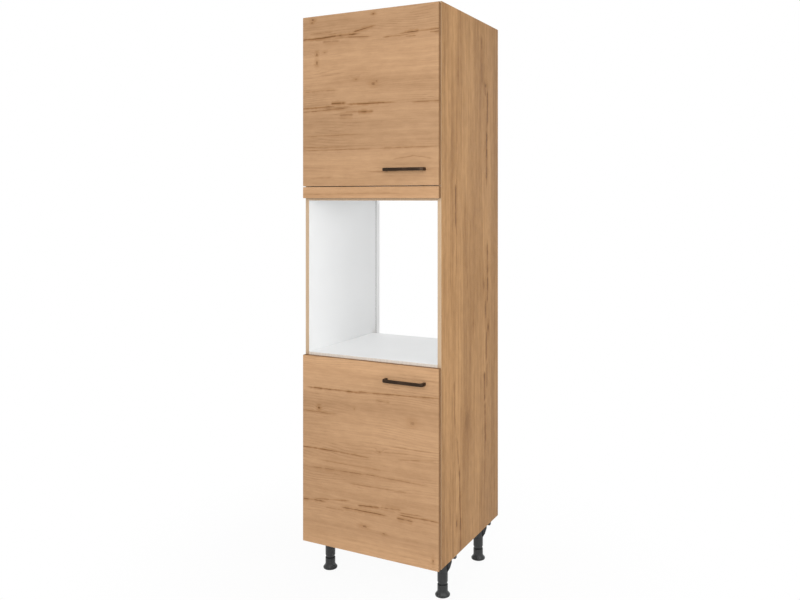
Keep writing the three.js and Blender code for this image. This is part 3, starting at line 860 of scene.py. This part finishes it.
class OVENUNIT_OT_sides(bpy.types.Operator):
    """Side panels: painted-shade oak outside, white inside, tape on the front edge, raw edges
    behind
    """

    bl_idname = "oven_unit.sides"
    bl_label = "Side Panels"

    def execute(self, context):
        arris = settings().board.arris
        # The sides' oak is the doors' oak made darker and less blue as painted shade.
        face = oak("oak decor upright", SIDE_GRAIN, True, SIDE_FLAWS, SIDE_PAINTED_SHADE, SIDE_CONTRAST)
        finishes = [face, white_face(), oak_tape(), raw_core(), groove_painted_shade()]
        decor, white, edged, raw, painted_shade_groove = range(len(finishes))
        cut = arris + SEAM
        thin_front, thin_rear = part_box("upper_back_panel")
        for side_name, way in SIDES.items():
            node = f"side_panel_{side_name}"
            low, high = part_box(node)
            outer = high.x if way > 0 else low.x

            def chosen(centre, normal):
                if abs(centre.x - outer) < TOUCH and normal.x * way > SQUARE:
                    return decor
                # On the front edge, the sides' darker oak (painted shade) goes round most of the
                # arris, and tape covers the rest.
                if centre.y < low.y + 2 * EDGE and abs(normal.x) < SQUARE:
                    return decor if normal.x * way > SIDE_WRAP else edged
                if not low.z + EDGE <= centre.z <= high.z - EDGE or centre.y > high.y - EDGE:
                    return raw
                if not low.x + cut < centre.x < high.x - cut:
                    return white
                # The walls of the back panel's groove take that core in painted shade.
                return painted_shade_groove if thin_front.y - EDGE < centre.y < thin_rear.y + EDGE else raw

            work = rounded_solid(node, arris, SHORTEST_EDGE)
            boarded(node, "board", work, finishes, "oak_side_board", chosen)
        return {"FINISHED"}


class OVENUNIT_OT_inner_boards(bpy.types.Operator):
    """Bottom, top, shelves and backs in white, with taped front edges and raw rear edges"""

    bl_idname = "oven_unit.inner_boards"
    bl_label = "Inner Boards"

    def execute(self, context):
        arris = settings().board.arris
        finishes = [white_face(), oak_tape(), raw_core(), cream_tape()]
        white, edged, raw, cream = range(len(finishes))
        fronts = {
            "bottom_panel": edged,
            "top_panel": edged,
            "niche_top_shelf": edged,
            "niche_floor_shelf": cream,
            "lower_adjustable_shelf": white,
            "upper_adjustable_shelf": white,
        }
        cut = arris + SEAM
        for node, front in fronts.items():
            low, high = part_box(node)

            def chosen(centre, normal):
                if centre.y < low.y + EDGE and abs(normal.z) < SQUARE:
                    return front
                if centre.y > high.y - 0.8 * EDGE and abs(normal.z) < SQUARE:
                    return raw
                return raw if low.z + cut < centre.z < high.z - cut else white

            work = rounded_solid(node, arris, SHORTEST_EDGE)
            boarded(node, "board", work, finishes, "white_board", chosen)
        for level in LEVELS:
            node = f"{level}_back_panel"
            work = rounded_solid(node, arris * 0.5, SHORTEST_EDGE)
            boarded(node, "board", work, finishes[:1], "white_thin_board", lambda *face: white)
        return {"FINISHED"}


class OVENUNIT_OT_fronts(bpy.types.Operator):
    """The two doors and the filler, faced all round in oak decor with the grain across"""

    bl_idname = "oven_unit.fronts"
    bl_label = "Doors and Filler"

    def execute(self, context):
        # Each front's place in the wood, its flaws, and which way its face is wrapped over an edge;
        # that edge keeps the face's decor instead of the edge band's painted shade.
        fronts = {
            "lower_door": (4.1, LOWER_FLAWS, 0),
            "upper_door": (7.6, UPPER_FLAWS, -1),
            "filler_strip": (9.2, FILLER_FLAWS, 1),
        }
        for node, (piece, flaws, wrapped) in fronts.items():
            face = oak(f"oak decor of {node}", piece, False, flaws)
            # Edge bands: the front's oak darkened as painted shade for the gaps round the doors.
            # The two level edges that face each other over the gap above the filler keep the face's
            # lighter decor.
            edges = oak(f"edge band of {node}", piece, False, painted_shade=settings().oak.edge)

            def chosen(centre, normal):
                outward = max(abs(normal.y), normal.z * wrapped)
                return 0 if outward > FRONT_WRAP else 1

            rounding = settings().board.rounding
            work = rounded_solid(node, rounding, shortest=14 * MM, segments=3)
            boarded(node, "front", work, [face, edges], "oak_door_board", chosen)
        return {"FINISHED"}


# ---- Handles ----------------------------------------------------------------------------------

# Where rings stand on a handle's foot and on half of its straight bar, as shares of the way, and
# how many there are round a bend.
FOOT_SHARES = (0.0, 0.35, 0.7, 1.0)
BAR_SHARES = (0.3, 0.65, 0.95)
BEND_STEPS = 10


def rounded_section(half_thick, half_high, radius, steps=4):
    """Points round a rectangle with round corners, as shares of its half sizes."""
    points = []
    for corner, (sx, sz) in enumerate(((1, 1), (-1, 1), (-1, -1), (1, -1))):
        for i in range(steps + 1):
            angle = (corner + i / steps) * QUARTER
            x = sx * (half_thick - radius) + radius * math.cos(angle)
            z = sz * (half_high - radius) + radius * math.sin(angle)
            points.append((x / half_thick, z / half_high))
    return points


class OVENUNIT_OT_handles(bpy.types.Operator):
    """The bow handles: a bar that turns back to the door at each end, with soft edges"""

    bl_idname = "oven_unit.handles"
    bl_label = "Handles"

    def bow(self, low, high):
        """Pairs of outer and inner points along the bow, from one foot to the other."""
        handle = settings().handle
        outer, inner = handle.bend, handle.bend - handle.bar_depth
        foot_x, bar_y = low.x + handle.foot_width, low.y + handle.bar_depth
        stations = []
        for down in FOOT_SHARES:
            y = high.y + (low.y + outer - high.y) * down
            stations.append(((low.x, y), (foot_x, y)))
        for i in range(1, BEND_STEPS + 1):
            angle = math.pi + QUARTER * i / BEND_STEPS
            x, y = 1 + math.cos(angle), 1 + math.sin(angle)
            outside = (low.x + outer * x, low.y + outer * y)
            stations.append((outside, (foot_x + inner * x, bar_y + inner * y)))
        middle = (low.x + high.x) / 2
        (out_x, _), (in_x, _) = stations[-1]
        for along in BAR_SHARES:
            outside = (out_x + (middle - out_x) * along, low.y)
            stations.append((outside, (in_x + (middle - in_x) * along, bar_y)))
        mirrored = [tuple((2 * middle - x, y) for x, y in pair) for pair in reversed(stations)]
        return stations + mirrored

    def execute(self, context):
        for level in LEVELS:
            node = f"{level}_handle"
            low, middle, high = extent(node)
            half_high = (high.z - low.z) / 2
            work = bmesh.new()
            rings = []
            for outside, inside in self.bow(low, high):
                centre = (Vector(outside) + Vector(inside)) / 2
                reach = (Vector(outside) - Vector(inside)) / 2
                points = []
                for u, v in rounded_section(reach.length, half_high, settings().handle.rounding):
                    spot = centre + reach * u
                    points.append(work.verts.new((spot.x, spot.y, middle.z + half_high * v)))
                rings.append(points)
            bridge(work, rings)
            work.faces.new(rings[0])
            work.faces.new(rings[-1])
            dressed(node, "bow", work, [bronze()], f"{level}_door", "dark_bronze_metal")
        return {"FINISHED"}


# ---- Hinges, pins, brackets and pads ----------------------------------------------------------

# How steep an edge of pressed steel is for it to be rounded, in degrees.
STEEL_ANGLE = 60.0

# Shelf pins, as shares of the collar's radius and of the pin's length. Slim keeps a round form
# inside the facets of its solid.
PIN_SLIM, PIN_PEG, PIN_COLLAR = 0.98, 0.58, (0.518, 0.582)
PIN_ROUNDING = 0.4 * MM

# Door bumpers: where the dome starts, as a share of the thickness, and its steps.
PAD_SLIM, PAD_SHOULDER, PAD_STEPS = 0.97, 0.55, 5

# Sides of a pin's and a bumper's round form.
SMALL_SEGMENTS = 24


class OVENUNIT_OT_hinges(bpy.types.Operator):
    """Concealed hinges: plate, arm, link and cup, with the soft edges of pressed steel"""

    bl_idname = "oven_unit.hinges"
    bl_label = "Hinges"

    def execute(self, context):
        soft = settings().hardware.sheet_rounding
        homes = {"plate": "carcass", "arm": "carcass", "link": "links", "cup": "door"}
        for level, end, (part, home) in product(LEVELS, ENDS, homes.items()):
            node = f"{level}_hinge_{part}_{end}"
            body = home if home == "carcass" else f"{level}_{home}"
            work = rounded_solid(node, soft, shortest=2.5 * MM, least_angle=STEEL_ANGLE)
            dressed(node, "steel", work, [nickel()], body, "nickel_steel")
        return {"FINISHED"}


class OVENUNIT_OT_shelf_pins(bpy.types.Operator):
    """Shelf pins: a round peg with a collar and a domed end"""

    bl_idname = "oven_unit.shelf_pins"
    bl_label = "Shelf Pins"

    def pin(self, node, way):
        """A pin that lies with its base towards the panel on its side."""
        low, middle, high = extent(node)
        span = high.x - low.x
        collar = (high.z - low.z) / 2 * PIN_SLIM
        peg = collar * PIN_PEG
        start, end = (span * share_along for share_along in PIN_COLLAR)
        outline = [(0.0, 0.0), (peg, 0.0), (peg, start), (collar, start)]
        outline += [(collar, end), (peg, end), (peg, span), (0.0, span)]
        work = turned((0, 0), fillet(outline, PIN_ROUNDING), SMALL_SEGMENTS)
        base_x = high.x if way > 0 else low.x
        return laid_down(work, "Y", -way * QUARTER, (base_x, middle.y, middle.z))

    def execute(self, context):
        for level, row, (side_name, way) in product(LEVELS, ROWS, SIDES.items()):
            node = f"{level}_shelf_pin_{row}_{side_name}"
            dressed(node, "steel", self.pin(node, way), [nickel()], "carcass", "nickel_steel")
        return {"FINISHED"}


class OVENUNIT_OT_brackets(bpy.types.Operator):
    """Angle brackets behind the filler and at the wall"""

    bl_idname = "oven_unit.brackets"
    bl_label = "Brackets"

    def execute(self, context):
        soft = settings().hardware.sheet_rounding
        for kind, side_name in product(("filler", "wall"), SIDES):
            node = f"{kind}_bracket_{side_name}"
            work = rounded_solid(node, soft, shortest=1 * MM, least_angle=STEEL_ANGLE)
            dressed(node, "steel", work, [zinc()], "carcass", "zinc_steel")
        return {"FINISHED"}


class OVENUNIT_OT_bumpers(bpy.types.Operator):
    """Soft domed pads on the backs of the doors"""

    bl_idname = "oven_unit.bumpers"
    bl_label = "Door Bumpers"

    def pad(self, node):
        """A pad with its flat base on the door."""
        low, middle, high = extent(node)
        radius, thick = (high.z - low.z) / 2 * PAD_SLIM, high.y - low.y
        profile = [(0.0, 0.0), (radius, 0.0), (radius, thick * PAD_SHOULDER)]
        for i in range(1, PAD_STEPS + 1):
            angle = QUARTER * i / PAD_STEPS
            height = PAD_SHOULDER + (1 - PAD_SHOULDER) * math.sin(angle)
            profile.append((radius * math.cos(angle), thick * height))
        work = turned((0, 0), profile, SMALL_SEGMENTS)
        return laid_down(work, "X", -QUARTER, (middle.x, low.y, middle.z))

    def execute(self, context):
        for level, end in product(LEVELS, ENDS):
            node = f"{level}_bumper_{end}"
            finishes = [soft_plastic()]
            dressed(node, "pad", self.pad(node), finishes, f"{level}_door", "clear_plastic")
        return {"FINISHED"}


# ---- Legs -------------------------------------------------------------------------------------

# Profiles as (radius, height) in millimetres: the foot from its sole up to the floor of its cup,
# and the tube with its tapered lower end and the plug inside the socket.
FOOT = (
    (0, 0),
    (27, 0),
    (28.45, 1.5),
    (28.45, 5.8),
    (26.2, 7.8),
    (21.2, 15),
    (19.95, 19.5),
    (19.95, 43),
    (17.6, 43),
    (17.6, 27.2),
    (10.8, 27.2),
)
TUBE = (
    (12.6, 38.1),
    (16.4, 38.1),
    (16.4, 46.2),
    (19.9, 54.6),
    (19.9, 91.5),
    (16.9, 91.5),
    (16.9, 144),
    (12.6, 144),
)

# The foot's stem, whose thread has a flat crest from one share of its pitch to another.
STEM_START, STEM_TOP = 27.6 * MM, 110.5 * MM
STEM_RADIUS, STEM_END_RADIUS = 11.9 * MM, 10.8 * MM
CREST = (0.4, 0.6)
LEG_SEGMENTS = 56


class OVENUNIT_OT_legs(bpy.types.Operator):
    """Levelling legs: ribbed socket, tube with a tapered end, and foot with its threaded stem"""

    bl_idname = "oven_unit.legs"
    bl_label = "Levelling Legs"

    def foot(self, centre):
        """The foot, from its sole up to the top of the threaded stem."""
        leg = settings().leg
        profile = fillet(in_metres(FOOT), leg.rounding)[:-1]
        height = STEM_START
        while height + leg.thread_pitch < STEM_TOP:
            profile.append((STEM_RADIUS - leg.thread_depth, height))
            for up in CREST:
                profile.append((STEM_RADIUS, height + leg.thread_pitch * up))
            height += leg.thread_pitch
        profile += [(STEM_END_RADIUS, STEM_TOP), (0.0, STEM_TOP)]
        return turned(centre, profile, LEG_SEGMENTS)

    def execute(self, context):
        rounding = settings().leg.rounding
        for row, side_name in product(ROWS, SIDES):
            tail = f"{row}_{side_name}"
            centre = extent(f"leg_foot_{tail}")[1][:2]
            tube = turned(centre, fillet(in_metres(TUBE), rounding), LEG_SEGMENTS)
            socket = rounded_solid(f"leg_socket_{tail}", rounding * 0.7, shortest=3 * MM)
            made = {
                "foot": (self.foot(centre), f"foot_{tail}", "leg_plastic"),
                "tube": (tube, "carcass", "leg_plastic"),
                "socket": (socket, "carcass", "leg_socket_plastic"),
            }
            for part, (work, body, slot) in made.items():
                node = f"leg_{part}_{tail}"
                dressed(node, "moulding", work, [leg_plastic()], body, slot)
        return {"FINISHED"}


# ---- Fasteners by Geometry Nodes --------------------------------------------------------------

# Where the fasteners sit: how far from the middle or the ends of their piece, and how far their
# seats are from one of its sides.
PLATE_SCREW, PLATE_SEAT = 16 * MM, 2.3 * MM
CUP_SCREW, CUP_LINE = 24 * MM, 17 * MM
HANDLE_SCREW, HANDLE_SEAT = 6 * MM, 0.6 * MM
BRACKET_SCREW, BRACKET_SEAT = 3 * MM, 1.8 * MM
SOCKET_SCREW, SOCKET_SEAT = 30 * MM, 5.2 * MM
CAM_FROM_END, CAM_FROM_FRONT, CAM_FROM_REAR, CAM_SEAT = 34 * MM, 60 * MM, 80 * MM, 0.15 * MM

# A fastener's head, as shares of its radius: the hidden shank under it, its rim, the rings of its
# dome, and the arms, waist and depth of the cross recess.
HEAD_SEGMENTS = 20
SHANK, RIM = 0.55, 0.04
DOME = (0.9, 0.75)
RECESS_ARM, RECESS_WAIST, RECESS_NARROW = 0.52, 0.25, 0.7
RECESS_DEPTH, RECESS_TIP = 0.38, 0.42
ARM_HALF_WIDTH = 0.16


def seated_tree():
    """A Geometry Nodes tree that seats one fastener on every point, along the point's aim."""
    found = bpy.data.node_groups.get("seated fasteners")
    if found:
        return found
    tree = bpy.data.node_groups.new("seated fasteners", "GeometryNodeTree")
    tree.is_modifier = True
    kinds = {"Geometry": "Geometry", "Fastener": "Object", "Radius": "Float", "Finish": "Material"}
    for label, kind in kinds.items():
        tree.interface.new_socket(label, in_out="INPUT", socket_type=f"NodeSocket{kind}")
    tree.interface.new_socket("Geometry", in_out="OUTPUT", socket_type="NodeSocketGeometry")
    given = tree.nodes.new("NodeGroupInput").outputs
    spots, fastener, radius, finish = (Wire(given[label]) for label in kinds)
    points = wired(tree, "GeometryNodeMeshToPoints", {0: spots})
    aim = wired(tree, "GeometryNodeInputNamedAttribute", {0: "aim"}, data_type="FLOAT_VECTOR")
    turn = wired(tree, "FunctionNodeAlignRotationToVector", {"Vector": aim}, axis="Z")
    model = wired(tree, "GeometryNodeObjectInfo", {"Object": fastener}, "Geometry")
    size = wired(tree, "ShaderNodeCombineXYZ", {0: radius, 1: radius, 2: radius})
    inputs = {"Points": points, "Instance": model, "Rotation": turn, "Scale": size}
    seated = wired(tree, "GeometryNodeInstanceOnPoints", inputs)
    real = wired(tree, "GeometryNodeRealizeInstances", {0: seated})
    coated = wired(tree, "GeometryNodeSetMaterial", {0: real, "Material": finish})
    feed(tree.nodes.new("NodeGroupOutput").inputs[0], coated)
    return tree


def seat(name, model, radius, finish, spots, body, slot):
    """Seats a fastener model on spots, given as (place, aim), as one plain mesh on a body."""
    cloud = bpy.data.meshes.new(f"{name}_spots")
    cloud.from_pydata([place for place, _ in spots], [], [])
    aims = cloud.attributes.new("aim", "FLOAT_VECTOR", "POINT")
    aims.data.foreach_set("vector", [part for _, aim in spots for part in aim])
    carrier = bpy.data.objects.new(f"{name}_carrier", cloud)
    bpy.context.scene.collection.objects.link(carrier)
    tree = seated_tree()
    items = tree.interface.items_tree
    sockets = {item.name: item.identifier for item in items if item.in_out == "INPUT"}
    modifier = carrier.modifiers.new("fasteners", "NODES")
    modifier.node_group = tree
    modifier[sockets["Fastener"]] = model
    modifier[sockets["Radius"]] = radius
    modifier[sockets["Finish"]] = finish
    bpy.context.view_layer.update()
    evaluated = carrier.evaluated_get(bpy.context.evaluated_depsgraph_get())
    mesh = bpy.data.meshes.new_from_object(evaluated)
    bpy.data.objects.remove(carrier)
    if not mesh.polygons:
        raise RuntimeError(f"{name} came out of its tree with no faces")
    if "aim" in mesh.attributes:
        mesh.attributes.remove(mesh.attributes["aim"])
    mesh.name = name
    finished(name, mesh, [finish], body, slot)


def head_model(name, crown, depth):
    """A fastener head of radius 1 on its seat, domed by its crown, with a cross recess in it."""
    work = bmesh.new()
    outline = [(0.0, -depth), (SHANK, -depth), (1.0, -RIM), (1.0, RIM)]
    outline += [(reach, RIM + crown * (1 - reach**2)) for reach in DOME]
    rings = [ring(work, (0, 0), radius, height, HEAD_SEGMENTS) for radius, height in outline]
    level = outline[-1][1]
    star = []
    for i in range(HEAD_SEGMENTS):
        angle = 2 * math.pi * i / HEAD_SEGMENTS
        near = min(abs(math.sin(angle)), abs(math.cos(angle)))
        radius = RECESS_ARM if near < ARM_HALF_WIDTH else RECESS_WAIST
        star.append((radius * math.cos(angle), radius * math.sin(angle)))
    for narrow, drop in ((1.0, 0.0), (RECESS_NARROW, RECESS_DEPTH)):
        rings.append([work.verts.new((x * narrow, y * narrow, level - drop)) for x, y in star])
    rings.append([work.verts.new((0, 0, level - RECESS_TIP))])
    bridge(work, rings)
    model = bpy.data.objects.new(name, as_mesh(name, work))
    bpy.context.scene.collection.objects.link(model)
    return model


class OVENUNIT_OT_fasteners(bpy.types.Operator):
    """Screws of hinges, handles, brackets and legs, and the cam discs that join the boards"""

    bl_idname = "oven_unit.fasteners"
    bl_label = "Screws and Cams"

    def plate_spots(self, level):
        """Screws of the hinge plates on the side panel."""
        spots = []
        for end in ENDS:
            low, middle, _ = extent(f"{level}_hinge_plate_{end}")
            for z in (middle.z - PLATE_SCREW, middle.z + PLATE_SCREW):
                spots.append(((low.x + PLATE_SEAT, middle.y, z), (1, 0, 0)))
        return spots

    def door_spots(self, level):
        """Screws on the back of a door: two in each hinge cup, and two that hold the handle."""
        spots = []
        for end in ENDS:
            low, middle, high = extent(f"{level}_hinge_cup_{end}")
            for z in (middle.z - CUP_SCREW, middle.z + CUP_SCREW):
                spots.append(((low.x + CUP_LINE, high.y, z), (0, 1, 0)))
        low, middle, high = extent(f"{level}_handle")
        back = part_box(f"{level}_door")[1].y + HANDLE_SEAT
        for x in (low.x + HANDLE_SCREW, high.x - HANDLE_SCREW):
            spots.append(((x, back, middle.z), (0, 1, 0)))
        return spots

    def carcass_spots(self):
        """Screws through the brackets and the leg sockets."""
        spots = []
        for side_name in SIDES:
            low, middle, _ = extent(f"filler_bracket_{side_name}")
            spots.append(((middle.x, middle.y + BRACKET_SCREW, low.z + BRACKET_SEAT), (0, 0, 1)))
            _, middle, high = extent(f"wall_bracket_{side_name}")
            spots.append(((middle.x, middle.y - BRACKET_SCREW, high.z - BRACKET_SEAT), (0, 0, -1)))
            spots.append(((middle.x, high.y - BRACKET_SEAT, middle.z - BRACKET_SCREW), (0, -1, 0)))
            for row in ROWS:
                middle = extent(f"leg_foot_{row}_{side_name}")[1]
                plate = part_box(f"leg_socket_{row}_{side_name}")[1].z - SOCKET_SEAT
                for i in range(4):
                    angle = QUARTER * (i + 0.5)
                    x = middle.x + SOCKET_SCREW * math.cos(angle)
                    y = middle.y + SOCKET_SCREW * math.sin(angle)
                    spots.append(((x, y, plate), (0, 0, -1)))
        return spots

    def cam_spots(self):
        """Cam discs near the ends of the fixed boards, on their faces inside the cupboards."""
        spots = []
        ways = {"niche_floor_shelf": -1, "niche_top_shelf": 1, "top_panel": -1, "bottom_panel": 1}
        for node, way in ways.items():
            low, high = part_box(node)
            face = (high.z if way > 0 else low.z) + way * CAM_SEAT
            across = (low.x + CAM_FROM_END, high.x - CAM_FROM_END)
            for x, y in product(across, (low.y + CAM_FROM_FRONT, high.y - CAM_FROM_REAR)):
                spots.append(((x, y, face), (0, 0, way)))
        return spots

    def execute(self, context):
        hardware = settings().hardware
        screw = head_model("screw_model", crown=0.16, depth=0.3)
        cam = head_model("cam_model", crown=0.0, depth=0.25)
        screws = {f"{level}_door": self.door_spots(level) for level in LEVELS}
        screws["carcass"] = self.carcass_spots()
        for level in LEVELS:
            screws["carcass"] += self.plate_spots(level)
        for body, spots in screws.items():
            radius = hardware.screw_radius
            seat(f"{body}_screws", screw, radius, nickel(), spots, body, "nickel_steel")
        cams = self.cam_spots()
        seat("carcass_cams", cam, hardware.cam_radius, zinc(), cams, "carcass", "zinc_steel")
        for model in (screw, cam):
            bpy.data.objects.remove(model)
        return {"FINISHED"}


# ---- Stage ------------------------------------------------------------------------------------

FLOOR_HALF_SIZE = 30.0
FLOOR_DROP = 0.5 * MM

# The lamps: their place, what they are aimed at, and their width and height.
LAMPS = {
    "key": ((1.1, -3.9, 2.2), (0, -0.1, 1.1), (2.6, 2.2)),
    "fill": ((3.4, -1.4, 2.0), (0.2, 0, 1.1), (2.4, 2.4)),
    "rear": ((0.0, 2.6, 1.9), (-0.15, 0, 1.1), (0.9, 1.4)),
}

# The camera, as solved from the photograph's straight edges.
CAMERA_PLACE = (1.5497, -2.8714, 1.5061)
CAMERA_TURN = math.radians(26.68)
LENS = {
    "sensor_width": 36.0,
    "lens": 35.76,
    "shift_x": -0.0319,
    "shift_y": -0.1273,
    "clip_end": 100.0,
}


def seen_directly(tree):
    """1 for what the camera sees, also in a reflection or through glass, and 0 for other light."""
    path = put(tree, "ShaderNodeLightPath").outputs
    kinds = ("Camera", "Glossy", "Transmission")
    camera, glossy, clear = (Wire(path[f"Is {kind} Ray"]) for kind in kinds)
    return calc("MAXIMUM", calc("MAXIMUM", camera, glossy), clear)


def pale_floor(shade):
    """A pale matt finish that the camera and reflections see nearly white, with its shadows."""
    material, tree, shader = bare_material("pale floor")
    output = shader.outputs[0].links[0].to_node
    shader.inputs["Base Color"].default_value = [*shade, 1]
    shader.inputs["Roughness"].default_value = 0.9
    x, y, _ = object_axes(tree)
    away = calc("SQRT", x * x + y * y)
    amount = seen_directly(tree) * ramp(away, 0.5, 1.4, 0.93, 1.0)
    glow = wired(tree, "ShaderNodeEmission", {"Color": (1, 1, 1, 1), "Strength": 1.0})
    blend = wired(tree, "ShaderNodeMixShader", {0: amount, 1: Wire(shader.outputs[0]), 2: glow})
    feed(output.inputs[0], blend)
    return material


class OVENUNIT_OT_stage(bpy.types.Operator):
    """Pale floor, even light and the camera"""

    bl_idname = "oven_unit.stage"
    bl_label = "Stage"

    def lamp(self, name, place, target, size, power):
        """A soft rectangular lamp aimed at a point."""
        lamp = bpy.data.lights.new(name, "AREA")
        lamp.shape = "RECTANGLE"
        lamp.size, lamp.size_y = size
        lamp.energy = power
        made = bpy.data.objects.new(name, lamp)
        made.location = place
        made.rotation_euler = (Vector(target) - Vector(place)).to_track_quat("-Z", "Y").to_euler()
        bpy.context.scene.collection.objects.link(made)

    def execute(self, context):
        stage = settings().stage
        scene = context.scene
        work = bmesh.new()
        bmesh.ops.create_grid(work, x_segments=1, y_segments=1, size=FLOOR_HALF_SIZE)
        bmesh.ops.translate(work, vec=(0, 0, -FLOOR_DROP), verts=work.verts)
        mesh = bpy.data.meshes.new("floor")
        work.to_mesh(mesh)
        work.free()
        mesh.materials.append(pale_floor(stage.backdrop))
        floor = bpy.data.objects.new("floor", mesh)
        scene.collection.objects.link(floor)

        for name, sizes in LAMPS.items():
            self.lamp(f"{name} lamp", *sizes, getattr(stage, f"{name}_power"))

        world = bpy.data.worlds.new("even light")
        world.use_nodes = True
        tree = world.node_tree
        tree.nodes.clear()
        strength = calc("MAXIMUM", seen_directly(tree), stage.world_light)
        light = wired(tree, "ShaderNodeBackground", {"Color": (1, 1, 1, 1), "Strength": strength})
        feed(tree.nodes.new("ShaderNodeOutputWorld").inputs[0], light)
        scene.world = world

        lens = bpy.data.cameras.new("camera")
        for key, value in LENS.items():
            setattr(lens, key, value)
        camera = bpy.data.objects.new("camera", lens)
        camera.location = CAMERA_PLACE
        camera.rotation_euler = (QUARTER, 0, CAMERA_TURN)
        scene.collection.objects.link(camera)
        scene.camera = camera
        scene.view_settings.view_transform = "Standard"
        return {"FINISHED"}


# ---- Panel and registration -------------------------------------------------------------------

STEPS = (
    OVENUNIT_OT_sides,
    OVENUNIT_OT_inner_boards,
    OVENUNIT_OT_fronts,
    OVENUNIT_OT_handles,
    OVENUNIT_OT_hinges,
    OVENUNIT_OT_shelf_pins,
    OVENUNIT_OT_brackets,
    OVENUNIT_OT_bumpers,
    OVENUNIT_OT_legs,
    OVENUNIT_OT_fasteners,
    OVENUNIT_OT_stage,
)


class OVENUNIT_PT_steps(bpy.types.Panel):
    """Lists the steps that dress the unit"""

    bl_idname = "OVENUNIT_PT_steps"
    bl_label = "Tall Oven Housing Unit"
    bl_space_type = "VIEW_3D"
    bl_region_type = "UI"
    bl_category = "Oven Unit"

    def draw(self, context):
        for step in STEPS:
            self.layout.operator(step.bl_idname)
        for group in ("oak", "board", "handle", "hardware", "leg", "stage"):
            chosen = getattr(context.scene.oven_unit, group)
            box = self.layout.box()
            box.label(text=group.capitalize())
            for key in chosen.__annotations__:
                box.prop(chosen, key)


CLASSES = (
    OakSettings,
    BoardSettings,
    HandleSettings,
    HardwareSettings,
    LegSettings,
    StageSettings,
    OvenUnitSettings,
    *STEPS,
    OVENUNIT_PT_steps,
)


def register():
    for item in CLASSES:
        bpy.utils.register_class(item)
    bpy.types.Scene.oven_unit = bpy.props.PointerProperty(type=OvenUnitSettings)


def unregister():
    del bpy.types.Scene.oven_unit
    for item in reversed(CLASSES):
        bpy.utils.unregister_class(item)


def main():
    """Runs every step in order."""
    register()
    for step in STEPS:
        group, action = step.bl_idname.split(".")
        getattr(getattr(bpy.ops, group), action)()


if __name__ == "__main__":
    main()
